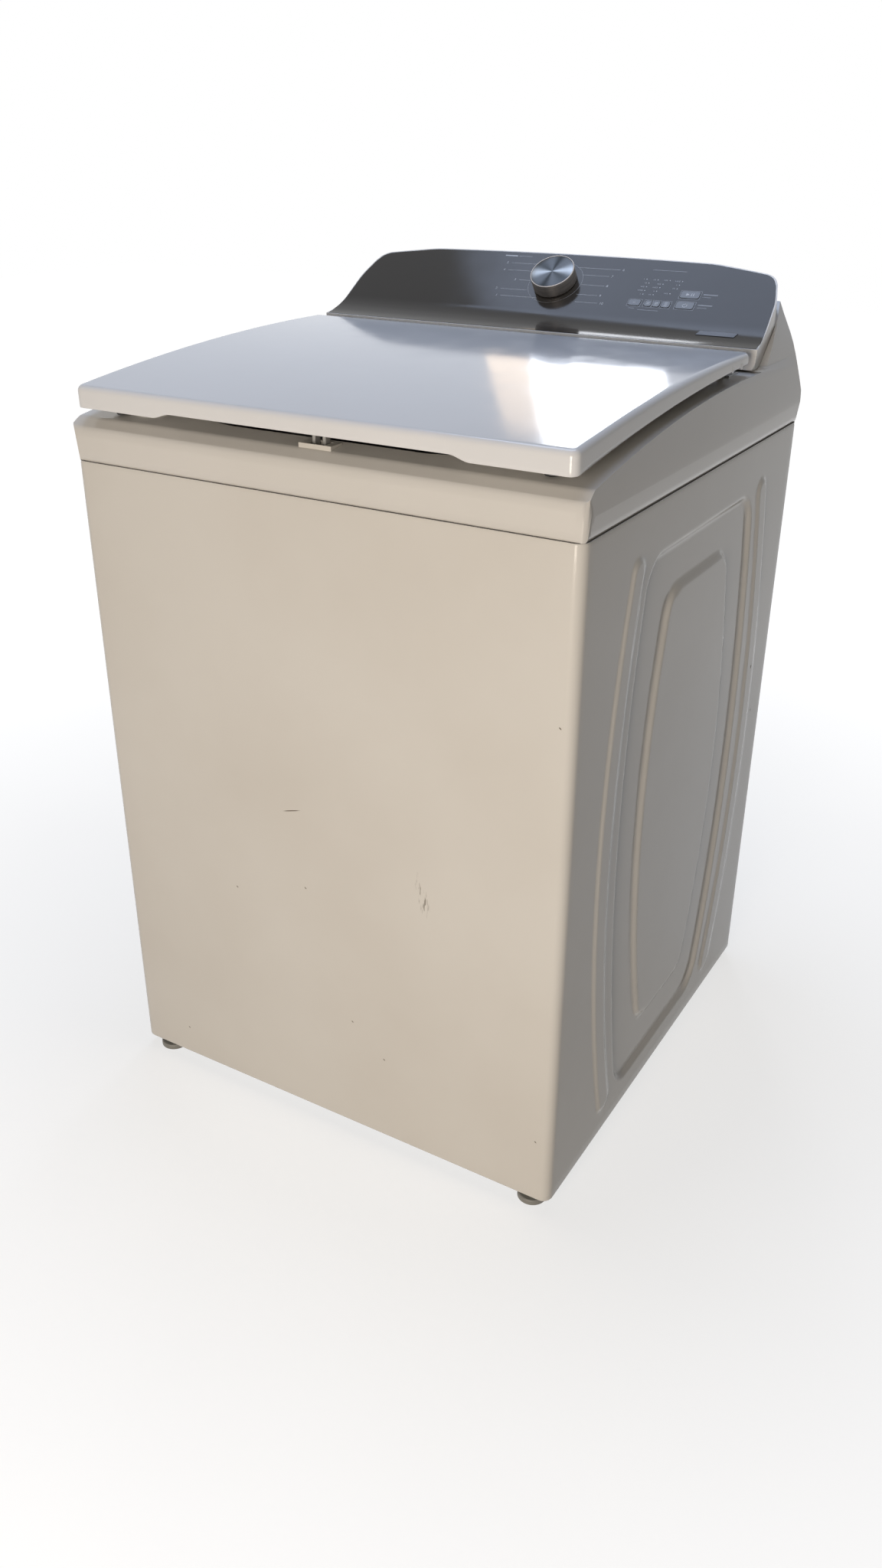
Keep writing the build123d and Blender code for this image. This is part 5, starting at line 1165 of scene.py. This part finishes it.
def die_cast(name, colour, dark):
    """Die cast aluminium: a pebbly bump of 1.5 mm and flow marks about 60 mm long."""
    material, tree, where = blank_material(name)
    tone, flow = mottled(tree, where, 60.0, 4.0, (0.35, 0.7), colour, dark)
    pebbles = add(tree, "TexNoise", {"Vector": where, "Scale": 1 / (1.5 * MM), "Detail": 2.0})
    rough = add(tree, "MapRange", (flow, 0.3, 0.7, 0.42, 0.55))
    surface(tree, {"Base Color": tone, "Metallic": 0.9, "Roughness": rough}, (pebbles, 0.5, 0.05))
    return material


def stacked_steel(name, colour, dark, sheet_mm):
    """Motor core under black enamel: a wave along z, drawn at sheet_mm, as coarse as it needs to show."""
    material, tree, where = blank_material(name)
    height = add(tree, "SeparateXYZ", (where,)).outputs[2]
    angle = add(tree, "Math", (height, 2 * math.pi / (sheet_mm * MM)), operation="MULTIPLY")
    wave = add(tree, "Math", (angle,), operation="SINE")
    tone, _ = mottled(tree, where, 25.0, 4.0, (0.45, 0.7), colour, dark)
    surface(tree, {"Base Color": tone, "Metallic": 0.3, "Roughness": 0.42}, (wave, 0.4, 0.2))
    return material


casting = die_cast("die cast aluminium", "#A6A9AB", "#94979A")
motor_paint = stacked_steel("motor core under black enamel", "#2B2C2F", "#3A3B3E", 3.0)
wire = grained_metal("drawn spring wire, zinc plated", "#8E9093", "#75777A", 0.32, 1.0, (1.0, 1.0, 1.0))
print("drive materials:", [material.name for material in (casting, motor_paint, wire)])

# %% Dress the drive
dressed("basket_hub", "basket_base", 0.8, casting)
dressed("bearing_case", "bearing_housing", 1.0, casting)
dressed("pulley_wheel", "drive_pulley", 0.8, casting)
dressed("motor_case", "drive_motor", 1.0, motor_paint)
dressed("pump_case", "drain_pump", 1.0, lock_plastic)
dressed("clutch_ring", "clutch_slider", 0.8, strike_plastic)
dressed("control_case", "main_control_box", 1.0, lock_plastic)


def give(material, *nodes):
    """Put one material in every slot of CAD nodes whose shape is right as it is."""
    for node in nodes:
        for place in frame["nodes"][node].material_slots:
            place.material = material


give(rubber, "drive_belt", "tub_seal", "drain_outlet")
give(shaft_steel, "drive_shaft", "main_bearings", "suspension_rods")
give(motor_paint, "motor_rotor")
give(pipe_plastic, "fill_spout", "pump_impeller")
give(liner_abs, "pressure_sensor")
give(lock_plastic, "knob_cap")
print("the drive is dressed")

# %% [markdown]
# ## The springs
#
# Each rod carries a coil spring, and the tub rests on the upper ends of all four. A spring is
# pressed together as the tub sinks: its foot stays on its rod's collar, and its head goes with the
# tub. The coils are the CAD ones, dressed, and here they ride on no body.

# %% Dress the springs' coils
coils = dressed("suspension_coils", "suspension_springs", 0.0, wire, 60.0, rides=False)
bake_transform(coils)
print("springs:", len(coils.data.polygons), "faces")

# %% [markdown]
# ## The circuit board behind the fascia
#
# A printed circuit board is glass fibre in epoxy, green from its solder mask, and glossy. Its
# copper tracks show through the mask as slightly lighter lines. A brick texture with thin mortar
# gives such a net of straight lines, at a pitch of some 4 mm.

# %% Solder mask over tracks


def solder_mask(name, mask, track, pitch_mm):
    """Green solder mask; the mortar of a brick texture, pitch_mm apart, stands for copper tracks."""
    material, tree, where = blank_material(name)
    net = add(tree, "TexBrick", {"Vector": where, "Scale": 1 / (pitch_mm * MM), "Mortar Size": 0.06,
                                 "Color1": mask, "Color2": mask, "Mortar": track})
    surface(tree, {"Base Color": net.outputs["Color"], "Roughness": 0.25}, (net.outputs["Fac"], 0.3, 0.04))
    return material


give(solder_mask("green solder mask over copper", "#1F5C34", "#3C8A55", 4.0), "user_interface_board")
shown = [o for o in bpy.data.objects if o.type == "MESH" and not o.hide_render]
worked = {m.name for m in bpy.data.materials if m.node_tree and len(m.node_tree.nodes) > 3}
bare = [o.name for o in shown if not worked & {place.name for place in o.material_slots}]
print("pieces:", len(shown), "still without a worked material:", bare)

# %% [markdown]
# ## Floor, backdrop and light
#
# The machine stands on a pale floor. What the camera sees round it should be white, so the floor
# and the world are lifted to white for camera, glossy and transmission rays only, and the floor
# still darkens where the machine shades it. The light is soft and plain: a warm box in front, a
# cooler one overhead, and behind on the left a tall one like a window, which shows as a bright
# patch in the lid, with a narrow warm strip beside it.

# %% Floor and world
FLOOR_HALF = 9.0


def seen_rays(tree):
    """1 for camera, glossy and transmission rays, and 0 for the rays that light the machine."""
    path = add(tree, "LightPath")
    seen = path.outputs["Is Camera Ray"]
    for kind in ("Is Glossy Ray", "Is Transmission Ray"):
        seen = add(tree, "Math", (seen, path.outputs[kind]), operation="MAXIMUM")
    return seen


floor_mesh = bpy.data.meshes.new("studio_floor")
square = [(x * FLOOR_HALF, y * FLOOR_HALF, 0) for x, y in ((-1, -1), (1, -1), (1, 1), (-1, 1))]
floor_mesh.from_pydata(square, [], [(0, 1, 2, 3)])
floor = linked("studio_floor", floor_mesh)
floor_paint, tree, where = blank_material("pale matt floor")
tone, _ = mottled(tree, where, 400.0, 3.0, (0.3, 0.7), "#ABAAA8", "#A6A5A3")
far = add(tree, "VectorMath", (where,), operation="LENGTH")
near_to_far = add(tree, "MapRange", (far, 0.5, 2.0, 0.68, 1.0))
lift = add(tree, "Math", (near_to_far, seen_rays(tree)), operation="MULTIPLY")
surface(tree, {"Base Color": tone, "Roughness": 0.7, "Specular IOR Level": 0.0,
               "Emission Color": "#FFFFFF", "Emission Strength": lift})
floor_mesh.materials.append(floor_paint)

bpy.context.scene.view_settings.view_transform = "Standard"
world = bpy.data.worlds.new("studio")
bpy.context.scene.world = world
world.use_nodes = True
tree = world.node_tree
tree.nodes.clear()
soft_fill = add(tree, "Background", {"Color": "#E9E3D8", "Strength": 0.075})
white = add(tree, "Background", {"Color": "#FFFFFF", "Strength": 1.0})
both = add(tree, "MixShader", (seen_rays(tree), soft_fill, white))
add(tree, "OutputWorld", {"Surface": both})
print("floor and world are set")

# %% Soft boxes


def soft_box(name, place, target, size, power, colour):
    """A rectangular area light at a place, turned so that it faces its target."""
    data = bpy.data.lights.new(name, "AREA")
    data.shape, data.size, data.size_y = "RECTANGLE", size[0], size[1]
    data.energy, data.color = power, linear(colour)[:3]
    light = linked(name, data)
    light.visible_camera = False
    facing = Vector(target) - Vector(place)
    light.matrix_world = Matrix.Translation(place) @ facing.to_track_quat("-Z", "Y").to_matrix().to_4x4()


soft_box("front box", (0.65, -3.0, 0.85), (0.0, 0.0, 0.45), (1.0, 1.7), 55.5, "#FFF3E5")
soft_box("overhead box", (-0.35, 0.45, 3.2), (-0.2, 0.2, 0.5), (1.4, 1.6), 25.5, "#CADDFF")
soft_box("window box", (-0.59, 1.7, 1.76), (0.0, 0.0, 1.02), (0.36, 0.70), 4.9, "#F4F8FF")
soft_box("warm strip", (-0.85, 1.7, 1.72), (0.0, 0.0, 1.02), (0.12, 0.55), 0.3, "#FFDDB0")
